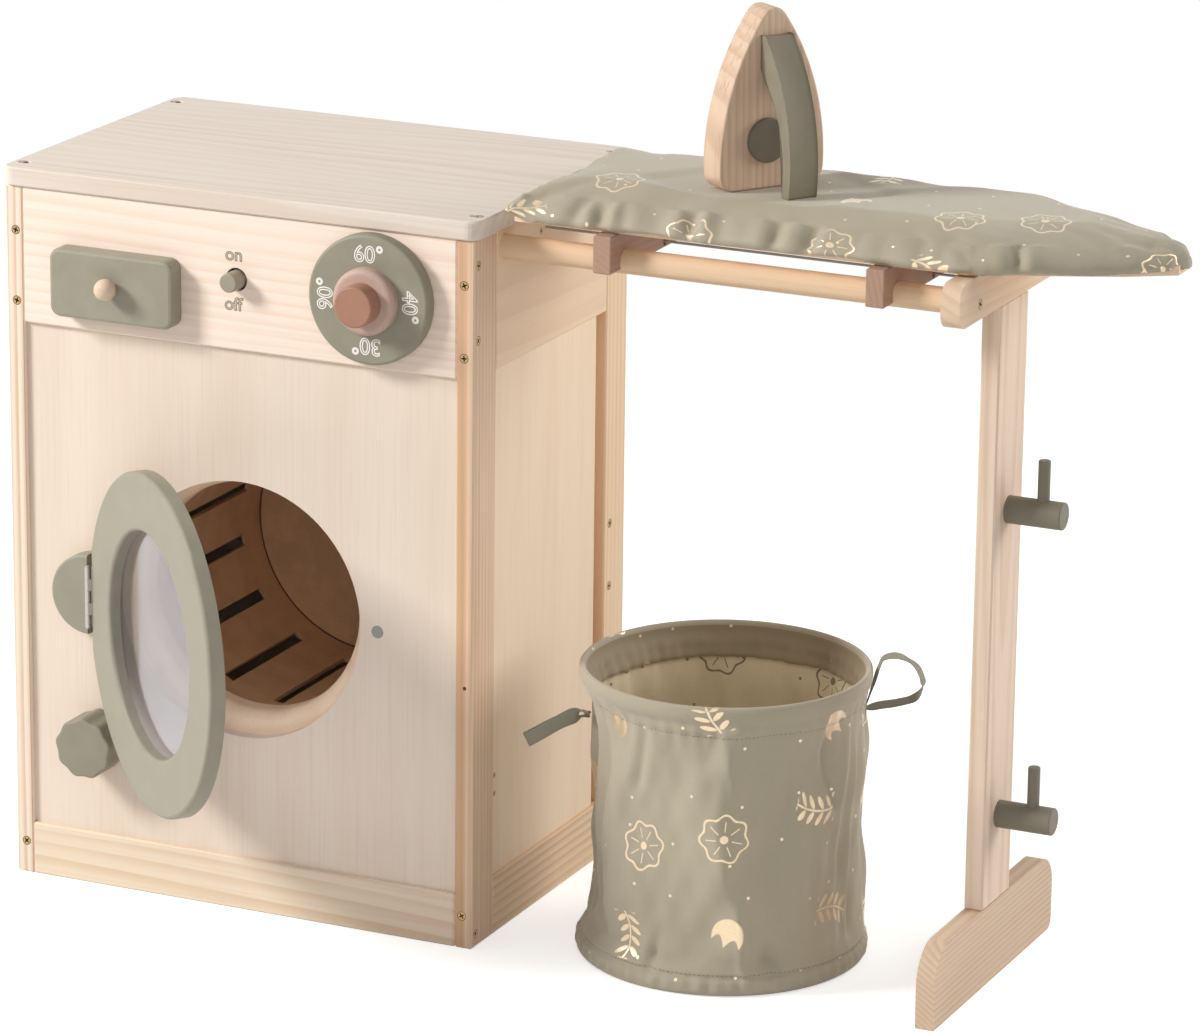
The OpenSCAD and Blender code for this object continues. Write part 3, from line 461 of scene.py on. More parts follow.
def satin_cotton(name, print_on=True, colour=CLOTH, reverse=False):
    """Sage cotton satin: a fine twill, a soft sheen and a gold foil print that is rubbed thin in places. On
    the reverse the print is a painted shadow, as if light came through the cloth and the foil held it back.
    Weave and print lie on the piece's UV map, whose unit is a millimetre."""
    f = Finish(name)
    at = f.add("ShaderNodeUVMap", uv_map=WEAVE).outputs[0]
    x, y, _ = f.split(at)
    twill = f.math("SINE", (x + y * 0.55) * 9.5)
    weft = f.math("SINE", y * 12.0)
    thread = f.math("MULTIPLY_ADD", twill, 0.5, weft * 0.4)
    slub = f.noise(f.gather(x * 0.25, y), 0.9, 3.0, 0.6)
    cloud = f.noise(at, 0.025, 3.0)
    tone = f.mix(f.ramp(thread, -0.9, 0.9), shade(colour, 0.93), shade(colour, 1.06))
    tone = f.mix(f.ramp(slub, 0.45, 0.75, 0.0, 0.55 if reverse else 0.35), tone, shade(colour, 0.84))
    tone = f.mix(f.ramp(cloud, 0.35, 0.7, 0.0, 0.25), tone, shade(colour, 1.12))
    rough = 0.66
    metallic = 0.0
    if print_on:
        foil = printed_motifs(f, at)
        rubbed = f.ramp(f.noise(at, 0.9, 4.0, 0.7), 0.30, 0.46, 0.25, 1.0)
        foil = foil * (0.8 if reverse else rubbed)
        # on the reverse the foil's place is painted dark: the print's shadow in light through the cloth
        tone = f.mix(foil, tone, PAINTED_PRINT_SHADOW if reverse else FOIL)
        if not reverse:
            metallic = foil * 0.75
            rough = f.ramp(foil, 0.0, 1.0, rough, 0.30, smooth=False)
    f.bump(f.math("MULTIPLY_ADD", slub, 0.8, thread), 0.00007, 0.5)
    f.shader.inputs["Sheen Weight"].default_value = 0.3
    f.shader.inputs["Sheen Roughness"].default_value = 0.45
    return f.finish(tone, rough, metallic, 0.35)


def thread_finish(name, colour):
    """Sewing thread with a tight twist."""
    f = Finish(name)
    twist = f.noise(f.place(), 3.0, 2.0)
    f.bump(twist, 0.0001, 0.5)
    return f.finish(f.mix(f.ramp(twist, 0.3, 0.7), shade(colour, 0.8), colour), 0.8)


def ink(name, colour):
    """Screen ink that is a little thin in places."""
    f = Finish(name)
    thin = f.noise(f.place(), 1.5, 3.0, 0.6)
    return f.finish(f.mix(f.ramp(thin, 0.35, 0.7, 0.0, 0.2), colour, shade(colour, 0.8)), 0.6)


def dress(material, *names):
    """Gives CAD nodes their finish."""
    for name in names:
        slots = nodes[name].material_slots
        if not slots:
            nodes[name].data.materials.append(material)
        for slot in nodes[name].material_slots:
            slot.material = material


# ---------------------------------------------------------------- boards

ORANGE = (0.66, 0.39, 0.22)
SAGE = (0.311, 0.289, 0.226)
DEEP_SAGE = (0.286, 0.266, 0.203)

PINE_BOARDS = (
    # name, grain, heart line, ring, lean, pale, dark, depth, seed, wander, streaks, nodes, and a tint if any
    ("top", "X", (400, 300), 13.0, (0.00, 0.05), (0.765, 0.68, 0.605), (0.65, 0.52, 0.42),
     0.5, 1.0, 2.6, 0.35, ("top_board",)),
    ("controls", "X", (-60, 560), 6.5, (0.0, 0.02), (0.93, 0.785, 0.68), (0.83, 0.60, 0.44),
     0.55, 2.0, 1.6, 0.22, ("control_panel",)),
    ("plinth", "X", (-210, -40), 6.0, (0.003, 0.02), (0.83, 0.695, 0.545), (0.70, 0.50, 0.33),
     0.75, 3.0, 1.0, 0.2, ("front_bottom_rail",)),
    ("post_left", "Z", (-206, -150), 4.6, (0.002, 0.0), PALE, ORANGE,
     0.8, 4.0, 0.5, 0.2, ("post_front_left",)),
    ("post_right", "Z", (120, -215), 4.4, (0.001, 0.001), (0.81, 0.60, 0.44), (0.56, 0.35, 0.20),
     0.75, 5.0, 0.4, 0.25, ("post_front_right",), (170, 184.5, (0.68, 0.41, 0.245))),
    ("posts_back", "Z", (260, 300), 6.5, (0.001, 0.0), (0.87, 0.66, 0.46), (0.76, 0.48, 0.28),
     0.6, 6.0, 0.6, 0.2, ("post_back_left", "post_back_right")),
    ("side_top", "Y", (215, 700), 22.0, (0.0, 0.02), (0.88, 0.68, 0.49), (0.78, 0.57, 0.40),
     0.5, 7.0, 0.6, 0.15, ("side_top_rail_left", "side_top_rail_right")),
    ("side_bottom", "Y", (262, -60), 5.5, (0.0, 0.01), (0.84, 0.63, 0.44), (0.66, 0.44, 0.28),
     0.85, 8.0, 0.6, 0.2, ("side_bottom_rails",)),
    ("back_rails", "X", (200, 430), 7.0, (0.003, 0.0), PALE, STRIPE,
     0.7, 9.0, 1.0, 0.15, ("back_rails", "bottom_board", "drum_bearer", "drum_batten")),
    ("column", "Z", (575, -13), 7.5, (0.012, 0.004), (0.82, 0.65, 0.52), (0.63, 0.43, 0.29),
     0.65, 10.0, 1.2, 0.25, ("column",)),
    ("foot", "Y", (470, -90), 3.6, (0.0, 0.0), (0.70, 0.53, 0.39), (0.54, 0.36, 0.24),
     0.75, 11.0, 0.5, 0.15, ("foot",)),
    ("crosspiece", "Y", (500, 430), 8.0, (0.0, 0.05), (0.80, 0.61, 0.44), (0.66, 0.44, 0.28),
     0.6, 12.0, 0.8, 0.15, ("crosspiece",)),
    ("dowels", "X", (30, 480), 6.0, (0.01, 0.01), (0.80, 0.58, 0.385), (0.68, 0.44, 0.27),
     0.55, 13.0, 0.8, 0.2, ("dowel_rails",)),
    ("battens", "Y", (250, 470), 4.5, (0.02, 0.02), (0.45, 0.285, 0.205), (0.36, 0.21, 0.145),
     0.6, 14.0, 0.8, 0.2, ("ironing_battens",)),
)
for title, along, heart, ring, lean, light, dark, depth, seed, wander, streaks, names, *tint in PINE_BOARDS:
    dress(pine("pine_" + title, along, heart, ring, lean, light, dark, depth, seed, wander, streaks, *tint),
          *names)
dress(plywood("ply_front", "Z", (0.81, 0.69, 0.58), (0.75, 0.605, 0.485), 1.0), "front_panel")
# the sides' plywood is set paler than the front's: painted light on the cabinet's sides
dress(plywood("ply_sides", "Z", (0.92, 0.75, 0.57), (0.86, 0.67, 0.49), 2.0), "side_panels")
dress(plywood("ply_inside", "Y", (0.95, 0.72, 0.51), (0.84, 0.60, 0.40), 3.0),
      "drum_collar", "drawer_box", "drawer_runners", "ironing_base", "button_housing")
dress(plywood("ply_back", "Z", (0.80, 0.64, 0.48), (0.72, 0.55, 0.39), 4.0), "back_panel")
dress(hardboard("hardboard"), "drum_shell")
dress(hardboard("hardboard_disc", (236.0, 96.6)), "drum_floor")
dress(beech("beech_pale", (0.72, 0.56, 0.42), (0.58, 0.40, 0.27)), "drawer_knob")
dress(beech("beech_hub", (0.54, 0.385, 0.32), (0.44, 0.30, 0.245), "Y", 2.0),
      "dial_hub", "dial_spindle", "drum_axle", "filter_stem")
dress(beech("beech_red", (0.395, 0.205, 0.135), (0.30, 0.145, 0.09), "Y", 3.0), "dial_knob")
dress(paint("sage_paint", SAGE), "door_ring", "hinge_block", "drawer_front")
dress(paint("sage_deep", DEEP_SAGE), "dial_disc")
dress(paint("sage_button", (0.33, 0.295, 0.225), 0.5), "push_button")
dress(paint("sage_pegs", (0.20, 0.18, 0.135), 0.7), "hook_pegs", "hook_pins")
dress(metal("zinc", (0.50, 0.485, 0.45), 0.5),
      "hinge_leaf_fixed", "hinge_leaf_door", "hinge_pin", "strike_plate", "button_spring", "basket_wires")
dress(metal("magnet_face", (0.32, 0.33, 0.29), 0.45), "magnet")
dress(clear_acrylic(), "door_pane")

# ---------------------------------------------------------------- making pieces


def grid_faces(rows, columns):
    """Quads between neighbouring points of a rows by columns grid whose last column joins its first."""
    index = np.arange(rows * columns).reshape(rows, columns)
    index = np.concatenate([index, index[:, :1]], axis=1)
    return np.stack([index[:-1, :-1], index[:-1, 1:], index[1:, 1:], index[1:, :-1]], -1).reshape(-1, 4)


def capped_faces(rows, columns):
    """Quads between the rings of a closed shape, then triangles that close its first ring on the point
    after the last ring, and its last ring on the point after that."""
    first = rows * columns
    last_ring = first - columns
    after = [(i + 1) % columns for i in range(columns)]
    return ([tuple(f) for f in grid_faces(rows, columns)]
            + [(first, after[i], i) for i in range(columns)]
            + [(first + 1, last_ring + i, last_ring + after[i]) for i in range(columns)])


def piece(name, points, faces, body, material, stands_for=(), smooth=True):
    """A mesh of these points, in metres, riding on a body if one is named; faces is a list or array of
    corner numbers."""
    mesh = bpy.data.meshes.new(name)
    corners = [tuple(int(i) for i in f) for f in faces]
    mesh.from_pydata([tuple(p) for p in np.asarray(points, float)], [], corners)
    set_smooth(mesh, smooth)
    mesh.materials.append(material)
    made = show(name, mesh)
    if body:
        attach(made, body)
    if stands_for:
        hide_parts(*stands_for)
    return made


def set_smooth(mesh, smooth):
    """Shades every face smooth, or every face flat."""
    mesh.polygons.foreach_set("use_smooth", np.full(len(mesh.polygons), smooth))


def set_uv(made, uv):
    """Gives every corner the flat position of its point, in millimetres."""
    layer = made.data.uv_layers.new(name=WEAVE)
    corner = np.empty(len(made.data.loops), int)
    made.data.loops.foreach_get("vertex_index", corner)
    layer.data.foreach_set("uv", np.asarray(uv, np.float32)[corner].ravel())


def coordinates(mesh):
    """A mesh's points as an array."""
    flat = np.empty(len(mesh.vertices) * 3)
    mesh.vertices.foreach_get("co", flat)
    return flat.reshape(-1, 3)


def normals(mesh):
    """The direction that its surface faces at each point."""
    flat = np.empty(len(mesh.vertices) * 3)
    mesh.vertex_normals.foreach_get("vector", flat)
    return flat.reshape(-1, 3)


def worked_out(made):
    """A new mesh of an object with its modifiers, or its letters, carried out."""
    return bpy.data.meshes.new_from_object(made.evaluated_get(bpy.context.evaluated_depsgraph_get()))


def on_circle(angle):
    """The places of these angles on a circle of radius one."""
    return np.stack([np.cos(angle), np.sin(angle)], 1)


def evenly(ring, count):
    """A closed outline again with evenly spaced points, and how far along it each of them is."""
    ring = np.concatenate([ring, ring[:1]])
    reach = np.r_[0, np.cumsum(np.linalg.norm(np.diff(ring, axis=0), axis=1))]
    wanted = np.arange(count) * reach[-1] / count
    return np.stack([np.interp(wanted, reach, line) for line in ring.T], 1), wanted


def frame_along(axis):
    """Two directions across an axis, and the axis itself, as the columns of a turn."""
    axis = np.array(axis, float) / np.linalg.norm(axis)
    side = np.cross((0, 0, 1) if abs(axis[2]) < 0.9 else (1, 0, 0), axis)
    side /= np.linalg.norm(side)
    return np.stack([side, np.cross(axis, side), axis], 1)


def swell(value, middle, width):
    """A smooth bell of height one."""
    return np.exp(-((value - middle) / width) ** 2)


def step_up(value, low, high):
    """0 below low, 1 above high, a soft S between."""
    t = np.clip((value - low) / (high - low), 0, 1)
    return t * t * (3 - 2 * t)


def soft_noise(x, y, z, seed, waves, length):
    """A sum of sine waves that run in random directions with random phases, about -1 to 1; length is their
    mean wavelength."""
    rng = np.random.default_rng(seed)
    total = 0.0
    for _ in range(waves):
        way = rng.normal(size=3)
        way /= np.linalg.norm(way)
        pitch = length * rng.uniform(0.6, 1.6)
        along = x * way[0] + y * way[1] + z * way[2]
        total = total + np.sin(2 * np.pi * along / pitch + rng.uniform(0, 2 * np.pi))
    return total / math.sqrt(waves)


# ---------------------------------------------------------------- screws

# the cross in a head of radius one, and the heads' radii in millimetres
CROSS_LONG = 0.62
CROSS_HALF = 0.15
HEAD_R, BOLT_R, ANCHOR_R, PIN_R = 3.5, 4.0, 2.6, 2.0
SCREWS = (
    # place, the way the head faces, and the head's radius
    [((x, -130, z), (0, -1, 0), HEAD_R) for x in (-182, 182) for z in (497, 444, 25)]
    + [((x, 130, z), (0, 1, 0), HEAD_R) for x in (-182, 182) for z in (497, 444, 25)]
    + [((side * 190, -123.5, z), (side, 0, 0), HEAD_R) for side in (-1, 1) for z in (511, 456.5, 10.5)]
    + [((side * 190, 123.5, z), (side, 0, 0), HEAD_R) for side in (-1, 1) for z in (511, 10.5)]
    + [((side * 190, 103.4, z), (side, 0, 0), HEAD_R) for side in (-1, 1) for z in (262, 213)]
    + [((x, y, 544), (0, 0, 1), HEAD_R) for x in (-185, 185) for y in (-113.4, 116)]
    + [((551, y, 516), (1, 0, 0), BOLT_R) for y in (-81, 55)]
    + [((537, -13, z), (-1, 0, 0), HEAD_R) for z in (352, 125.5)]
    + [((544, -13, 0.6), (0, 0, -1), BOLT_R), ((544, -13, 537), (0, 0, 1), BOLT_R)]
    + [((190, -21, 514), (1, 0, 0), ANCHOR_R)]
    + [((side * 186, -85, z), (side, 0, 0), PIN_R) for side in (-1, 1) for z in (106, 120)]
)


RING_POINTS = 24


def flat_turn(angle):
    """A turn in the plane, as a matrix."""
    return np.array([[math.cos(angle), -math.sin(angle)], [math.sin(angle), math.cos(angle)]])


def screw_shape():
    """A countersunk screw along Z with a head of radius one. Twenty-four points stand on each ring, one
    every 15 degrees. The first two rings follow a cross: its long ends, its inner corners and the points
    midway. The rest are circles: the slightly crowned head, its rim, the cone under it and the shank. The
    cross, the head's rim and the cone are dark: painted shade in the cross's recess and in the gap round
    the head."""
    long, half = CROSS_LONG, CROSS_HALF
    mid = (long + half) / 2
    quarter = np.array([(long, 0), (long, half), (mid, half), (half, half), (half, mid), (half, long)])
    cross = np.concatenate([quarter @ flat_turn(a).T for a in np.arange(4) * math.pi / 2])
    circle = on_circle(np.arange(RING_POINTS) * math.pi / 12)
    rings = [(cross * 0.55, -0.42), (cross, 0.02), (circle * 0.70, 0.015), (circle * 0.88, 0.0),
             (circle, 0.012), (circle * 0.45, -0.66), (circle * 0.42, -1.5)]
    ends = [(0, 0, -0.42), (0, 0, -1.6)]
    points = np.concatenate([np.c_[flat, np.full(RING_POINTS, z)] for flat, z in rings] + [ends])
    faces = capped_faces(len(rings), RING_POINTS)
    top = len(rings) * RING_POINTS
    # bands painted dark as shade: the cross's recess, the head's rim and the cone under it
    painted_shade_bands = (0, 3, 4)
    dark = [int(top in face or k // RING_POINTS in painted_shade_bands) for k, face in enumerate(faces)]
    return points, [face[::-1] for face in faces], dark


def make_screws():
    """Every visible wood screw, each turned a different way about its own axis."""
    shape, faces, dark = screw_shape()
    rng = np.random.default_rng(5)
    points, corners = [], []
    for at, axis, radius in SCREWS:
        turn = np.eye(3)
        turn[:2, :2] = flat_turn(rng.uniform(0, math.pi / 2))
        corners += [tuple(i + len(points) * len(shape) for i in f) for f in faces]
        points.append(shape @ turn.T * radius @ frame_along(axis).T + np.array(at))
    made = piece("screw_heads", np.concatenate(points) * MM, corners, "cabinet",
                 metal("brass", (0.46, 0.32, 0.16), 0.42), ("wood_screws",), smooth=False)
    # a near-black brass paints the shade in each cross and round each head
    made.data.materials.append(metal("brass_painted_shade", (0.07, 0.045, 0.025), 0.6))
    made.data.polygons.foreach_set("material_index", dark * len(SCREWS))


make_screws()

# ---------------------------------------------------------------- dial numbers and switch words

# millimetres: letter sizes, the ring that the numbers stand on, a small shift along it for the degree sign,
# how thick the outlines are, and the words' middle
DIGIT_SIZE = 17.0
DIGIT_RING = 34.0
DIGIT_SHIFT = 1.0
DIGIT_RIM = 0.52
WORD_SIZE = 13.5
WORD_RIM = 0.42
WORDS_X = -2.0


def lettering(name, words, size, front, middle, spin, rim, body, material):
    """Words in the built-in face, stood up to face the front. With a rim they are drawn as a line that
    follows each letter's outline, a bead of that radius pressed almost flat; with none they are the filled
    letters.

    front: y of the face they are printed on        middle: x and z of the words' centre
    spin: radians, clockwise
    """
    curve = bpy.data.curves.new(name, "FONT")
    curve.body = words
    curve.size = size
    curve.align_x = "CENTER"
    if rim:
        curve.fill_mode = "NONE"
        curve.bevel_depth = rim
        curve.bevel_resolution = 2
    curve.resolution_u = 6
    shaper = show(name + "_shaper", curve)
    mesh = worked_out(shaper)
    bpy.data.objects.remove(shaper)
    flat = coordinates(mesh)
    centre = (flat.min(0) + flat.max(0)) / 2
    flat -= centre
    flat[:, 2] *= 0.12 if rim else 1.0
    across = flat[:, 0] * math.cos(spin) + flat[:, 1] * math.sin(spin)
    up = flat[:, 1] * math.cos(spin) - flat[:, 0] * math.sin(spin)
    # the rim stands a hair in front of the fill
    lift = 0.09 if rim else 0.05
    placed = np.stack([middle[0] + across, front - lift - flat[:, 2], middle[1] + up], 1) * MM
    mesh.vertices.foreach_set("co", placed.ravel())
    mesh.materials.clear()
    mesh.materials.append(material)
    set_smooth(mesh, bool(rim))
    mesh.update()
    made = show(name, mesh)
    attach(made, body)


def make_lettering():
    """Four wash heats round the dial, and ON and OFF over and under the button."""
    white, dark = ink("white_ink", (0.86, 0.85, 0.80)), ink("dark_ink", (0.165, 0.140, 0.100))
    cream, brown = ink("cream_ink", (0.88, 0.80, 0.68)), ink("brown_ink", (0.30, 0.23, 0.16))
    for turn, heat in enumerate(("60", "40", "30", "90")):
        spin = turn * math.pi / 2
        middle = (DIAL_AT[0] / MM + DIGIT_RING * math.sin(spin) + DIGIT_SHIFT * math.cos(spin),
                  DIAL_AT[1] / MM + DIGIT_RING * math.cos(spin) - DIGIT_SHIFT * math.sin(spin))
        for part, rim, finish in (("fill", 0.0, dark), ("rim", DIGIT_RIM, white)):
            lettering(f"dial_{heat}_{part}", heat + "°", DIGIT_SIZE, DIAL_FACE, middle, spin, rim, "dial",
                      finish)
    for word, z in (("on", 497.5), ("off", 462.4)):
        for part, rim, finish in (("fill", 0.0, cream), ("rim", WORD_RIM, brown)):
            lettering(f"switch_{word}_{part}", word, WORD_SIZE, PANEL_FACE, (WORDS_X, z), 0.0, rim, "cabinet",
                      finish)


make_lettering()

# ---------------------------------------------------------------- clothes line

LINE_START, LINE_END = 0.190, 0.541
LINE_Y, LINE_Z = -0.013, 0.5155
LINE_THICK = 0.002


def make_clothes_line():
    """A cord pulled tight between the cabinet's side and the stand's crosspiece, both ends glued in."""
    curve = bpy.data.curves.new("clothes_line_cord", "CURVE")
    curve.dimensions = "3D"
    curve.bevel_depth = LINE_THICK / 2
    curve.bevel_resolution = 3
    curve.use_fill_caps = True
    spline = curve.splines.new("POLY")
    x = np.linspace(LINE_START, LINE_END, 25)
    spline.points.add(len(x) - 1)
    spline.points.foreach_set("co", np.stack([x, 0 * x + LINE_Y, 0 * x + LINE_Z, 0 * x + 1], 1).ravel())
    cord = show("clothes_line_cord", curve)
    curve.materials.append(twisted_cord())
    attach(cord, "cabinet")
    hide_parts("clothes_line")


make_clothes_line()

# ---------------------------------------------------------------- button spring


def make_button_spring():
    """The button's return spring, a round wire swept along a helix between the housing's wall and the
    collar of the button."""
    low, high = (np.array(corner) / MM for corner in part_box("button_spring"))
    turns, steps, sides, wire = 5, 24, 8, 0.6
    coil = (high[0] - low[0]) / 2 - wire
    along = np.linspace(0, 1, turns * steps + 1)[:, None]
    side = (np.arange(sides) * 2 * np.pi / sides)[None]
    angle = 2 * np.pi * turns * along
    reach = coil + wire * np.cos(side)
    x, _, z = (low + high) / 2
    y = low[1] + wire + (high[1] - low[1] - 2 * wire) * along + wire * np.sin(side)
    points = np.stack([x + reach * np.cos(angle), y, z + reach * np.sin(angle)], -1)
    faces = [tuple(f) for f in grid_faces(turns * steps + 1, sides)]
    last = turns * steps * sides
    faces += [tuple(range(sides))[::-1], tuple(range(last, last + sides))]
    made = piece("button_coil", points.reshape(-1, 3) * MM, faces, None,
                 metal("spring_wire", (0.52, 0.50, 0.47), 0.35), ("button_spring",))
    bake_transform(made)


make_button_spring()

# ---------------------------------------------------------------- iron and filter knob

# millimetres: where the middle of the sole's face stands on the cover
SOLE_FACE_AT = (370.2, -23.4)
SOLE_T = 23.0
SOLE_TALL = 128.5
SOLE_HALF = 43.4
SOLE_WIDE_Z = 18.0
HEEL_R = 12.0
TIP_R = 11.0
BOW_W = 23.2
# the handle's two arcs: how far the centre lies behind the sole's face, its height, and the radius
BOW_OUTER = (95.5, 19.3, 135.4)
BOW_INNER = (67.0, 14.6, 99.4)
BOW_TOP = 109.5
# the disc's centre across the sole, its height, radius and thickness
THERMOSTAT = (-5.7, 35.0, 15.9, 4.6)
OUTLINE_POINTS = 150
# the sizes of the rings that close a slab's face, as shares of its outline
SHRINK = (0.01, 0.4, 0.8, 0.97)


def on_iron(points):
    """Points drawn with the sole's face on the XZ plane, heel down, set on the ironing cover."""
    cosine, sine = math.cos(IRON_TURN), math.sin(IRON_TURN)
    x, y, z = np.moveaxis(points, -1, 0)
    return np.stack([SOLE_FACE_AT[0] + x * cosine - y * sine, SOLE_FACE_AT[1] + x * sine + y * cosine,
                     IRON_AT.z / MM + z], -1)


def sole_outline():
    """A pointed arch, counted once round against the clock from the middle of the heel. Each side is a
    circle arc that runs without a corner into a small circle at the tip; it narrows a little below its
    widest height, and a quarter circle rounds the heel."""
    slack, climb = SOLE_HALF - TIP_R, SOLE_TALL - TIP_R - SOLE_WIDE_Z
    reach = (climb ** 2 - slack ** 2) / (2 * slack)
    turn = math.atan2(climb, reach)
    z = np.linspace(HEEL_R, SOLE_WIDE_Z + (SOLE_HALF + reach) * math.sin(turn), 200)
    half = np.sqrt((SOLE_HALF + reach) ** 2 - np.maximum(z - SOLE_WIDE_Z, 0) ** 2) - reach
    half -= 2.0 * (np.maximum(SOLE_WIDE_Z - z, 0) / SOLE_WIDE_Z) ** 2
    tip = np.linspace(turn, np.pi / 2, 40)[1:]
    heel = np.linspace(-np.pi / 2, 0, 12)[:-1]
    right = np.concatenate([[(0.0, 0.0)], (half[0] - HEEL_R, HEEL_R) + HEEL_R * on_circle(heel),
                            np.stack([half, z], 1), (0.0, SOLE_TALL - TIP_R) + TIP_R * on_circle(tip)])
    return evenly(np.concatenate([right, right[::-1][1:-1] * (-1, 1)]), OUTLINE_POINTS)[0]


def bow_outline():
    """The handle seen from the side: two circle arcs that draw together towards its foot, cut off level at
    its top and at its foot, and flat where it lies on the sole's face."""
    z = np.linspace(0, BOW_TOP, 60)
    outer, inner = (cy - np.sqrt(r ** 2 - (z - cz) ** 2) for cy, cz, r in (BOW_OUTER, BOW_INNER))
    clear = inner < 0
    back = np.concatenate([[(0.0, BOW_TOP)], np.stack([inner, z], 1)[clear][::-1]])
    return evenly(np.concatenate([np.stack([outer, z], 1), back]), OUTLINE_POINTS)[0]


def slab(outline, thick, rounding):
    """A flat board of this outline from 0 to thick. Rings of the outline go over a quarter-circle edge on
    both sides; each face is closed by rings that shrink towards a point inside it."""
    ahead = np.roll(outline, -1, 0) - np.roll(outline, 1, 0)
    out = np.stack([ahead[:, 1], -ahead[:, 0]], 1) / np.linalg.norm(ahead, axis=1)[:, None]
    centre = outline.mean(0)
    rings, depth = [], []

    def add(flat, level):
        rings.append(flat)
        depth.append(np.full(len(outline), level))

    turns = np.radians((0, 30, 60, 90))
    low = [(outline - out * rounding * (1 - math.sin(a)), rounding * (1 - math.cos(a))) for a in turns]
    inset = outline - out * rounding
    for share in SHRINK:
        add(centre + (inset - centre) * share, 0.0)
    for flat, level in low:
        add(flat, level)
    for flat, level in low[::-1]:
        add(flat, thick - level)
    for share in SHRINK[::-1]:
        add(centre + (inset - centre) * share, thick)
    points = [np.c_[flat, level] for flat, level in zip(rings, depth)]
    ends = [(*centre, 0.0), (*centre, thick)]
    return np.concatenate(points + [ends]), capped_faces(len(rings), len(outline))


def make_iron():
    """The sole, its bow handle and the thermostat disc. The solids' own forms are a little plainer, so each
    piece stands for its solid."""
    wood = pine("pine_iron", "Z", (434, 68), 5.5, (0.02, 0.01), (0.71, 0.525, 0.385), (0.49, 0.31, 0.20),
                0.45, 15.0, 1.4, 0.6)
    deep = paint("sage_iron", (0.245, 0.215, 0.155))
    points, faces = slab(sole_outline(), SOLE_T, 1.6)
    points = on_iron(np.stack([points[:, 0], points[:, 2], points[:, 1]], 1))
    piece("iron_sole_board", points * MM, [f[::-1] for f in faces], "iron", wood, ("iron_sole",))
    points, faces = slab(bow_outline(), BOW_W, 0.9)
    points = on_iron(np.stack([points[:, 2] - BOW_W / 2, points[:, 0], points[:, 1]], 1))
    piece("iron_bow", points * MM, faces, "iron", deep, ("iron_handle",))
    x, z, radius, thick = THERMOSTAT
    points, faces = slab(on_circle(np.arange(72) * np.pi / 36) * radius, thick, 0.9)
    points = on_iron(np.stack([x + points[:, 0], points[:, 2] - thick, z + points[:, 1]], 1))
    # the disc's sage is darker than the handle's: painted shade from the handle over it
    piece("iron_thermostat", points * MM, [f[::-1] for f in faces], "iron",
          paint("sage_disc", (0.17, 0.15, 0.108)), ("iron_disc",))


# the knob's centre across and up, radius, number of lobes, half their depth, how far the knob stands out, and
# the y of its foot
FILTER = (-118.0, 115.0, 23.2, 9, 0.75, 29.6, -126.4)


def make_filter_knob():
    """The lint filter's knob: a circle whose radius follows a cosine once for each lobe, with a soft rim."""
    x, z, radius, lobes, depth, tall, foot = FILTER
    a = np.arange(180) * np.pi / 90
    reach = radius - depth + depth * np.cos(lobes * (a - 0.2))
    points, faces = slab(on_circle(a) * reach[:, None], tall, 1.6)
    points = np.stack([x + points[:, 0], foot - tall + points[:, 2], z + points[:, 1]], 1)
    piece("filter_grip", points * MM, [f[::-1] for f in faces], "filter",
          paint("sage_filter", (0.268, 0.246, 0.190)), ("filter_knob",))


make_iron()
make_filter_knob()

# ---------------------------------------------------------------- padded ironing cover

PAD_LEFT = 0.198
PAD_HALF = 0.088
PAD_POWER = 0.6
PAD_TOP = 0.566
PAD_HEM = 0.5396
BOARD_TOP = 0.545
VOXEL = 0.0045
SIM_CAP = 0.006
SIM_FRAMES = 20
# what lies under the cover: the board's half width along x, the battens and the crosspiece; and the lowest
# that the hem may hang
BOARD_X = (0.2020, 0.2021, 0.544, 0.642, 0.6745, 0.6746)
BOARD_HALF = (0, 0.0795, 0.0795, 0.0335, 0.0125, 0)
BATTENS_X = (0.277, 0.483)
CROSSPIECE_X = 0.544
SUPPORT_HALF = 0.007
HEM_OVER_CROSSPIECE = 0.5374
HEM_ELSEWHERE = 0.5383
# half the side of the patch that the iron presses flat, and the gap left between touching faces
PRESSED = 0.075
HAIR = 0.0002
MOTIF_CLOTH = satin_cotton("printed_cotton")


def pad_half(x):
    """Half the cover's width at x: even up to the shoulder, then narrowing to the nose by a power law."""
    share = np.clip((PAD_TIP - x) / (PAD_TIP - PAD_SHOULDER), 0, 1)
    return np.where(x < PAD_SHOULDER, PAD_HALF, PAD_HALF * share ** PAD_POWER)


def pad_edge(count):
    """The cover's outline seen from above, once round from the front left corner, evenly spaced: the front,
    the nose, the back and the square left end. The second result is how far along it each point is."""
    nose = PAD_SHOULDER + (PAD_TIP - PAD_SHOULDER) * np.sin(np.linspace(0, np.pi / 2, 200))
    front = np.stack([np.r_[PAD_LEFT, nose], np.r_[-PAD_HALF, -pad_half(nose)]], 1)
    return evenly(np.concatenate([front, front[::-1][1:] * (1, -1)]), count)


PAD_SECTION = (
    # inward from the cover's outline and height above its hem, in millimetres: off the board's top, down
    # inside the hem, round it, up the side and over the rounded shoulder
    (9.6, 6.1), (8.6, 3.4), (7.2, 0.3), (4.4, -0.7), (2.3, 0.3), (1.4, 3.4), (2.0, 7.6), (4.2, 12.0),
    (8.4, 16.0), (14.5, 19.2), (23.0, 21.6), (34.0, 23.2),
)


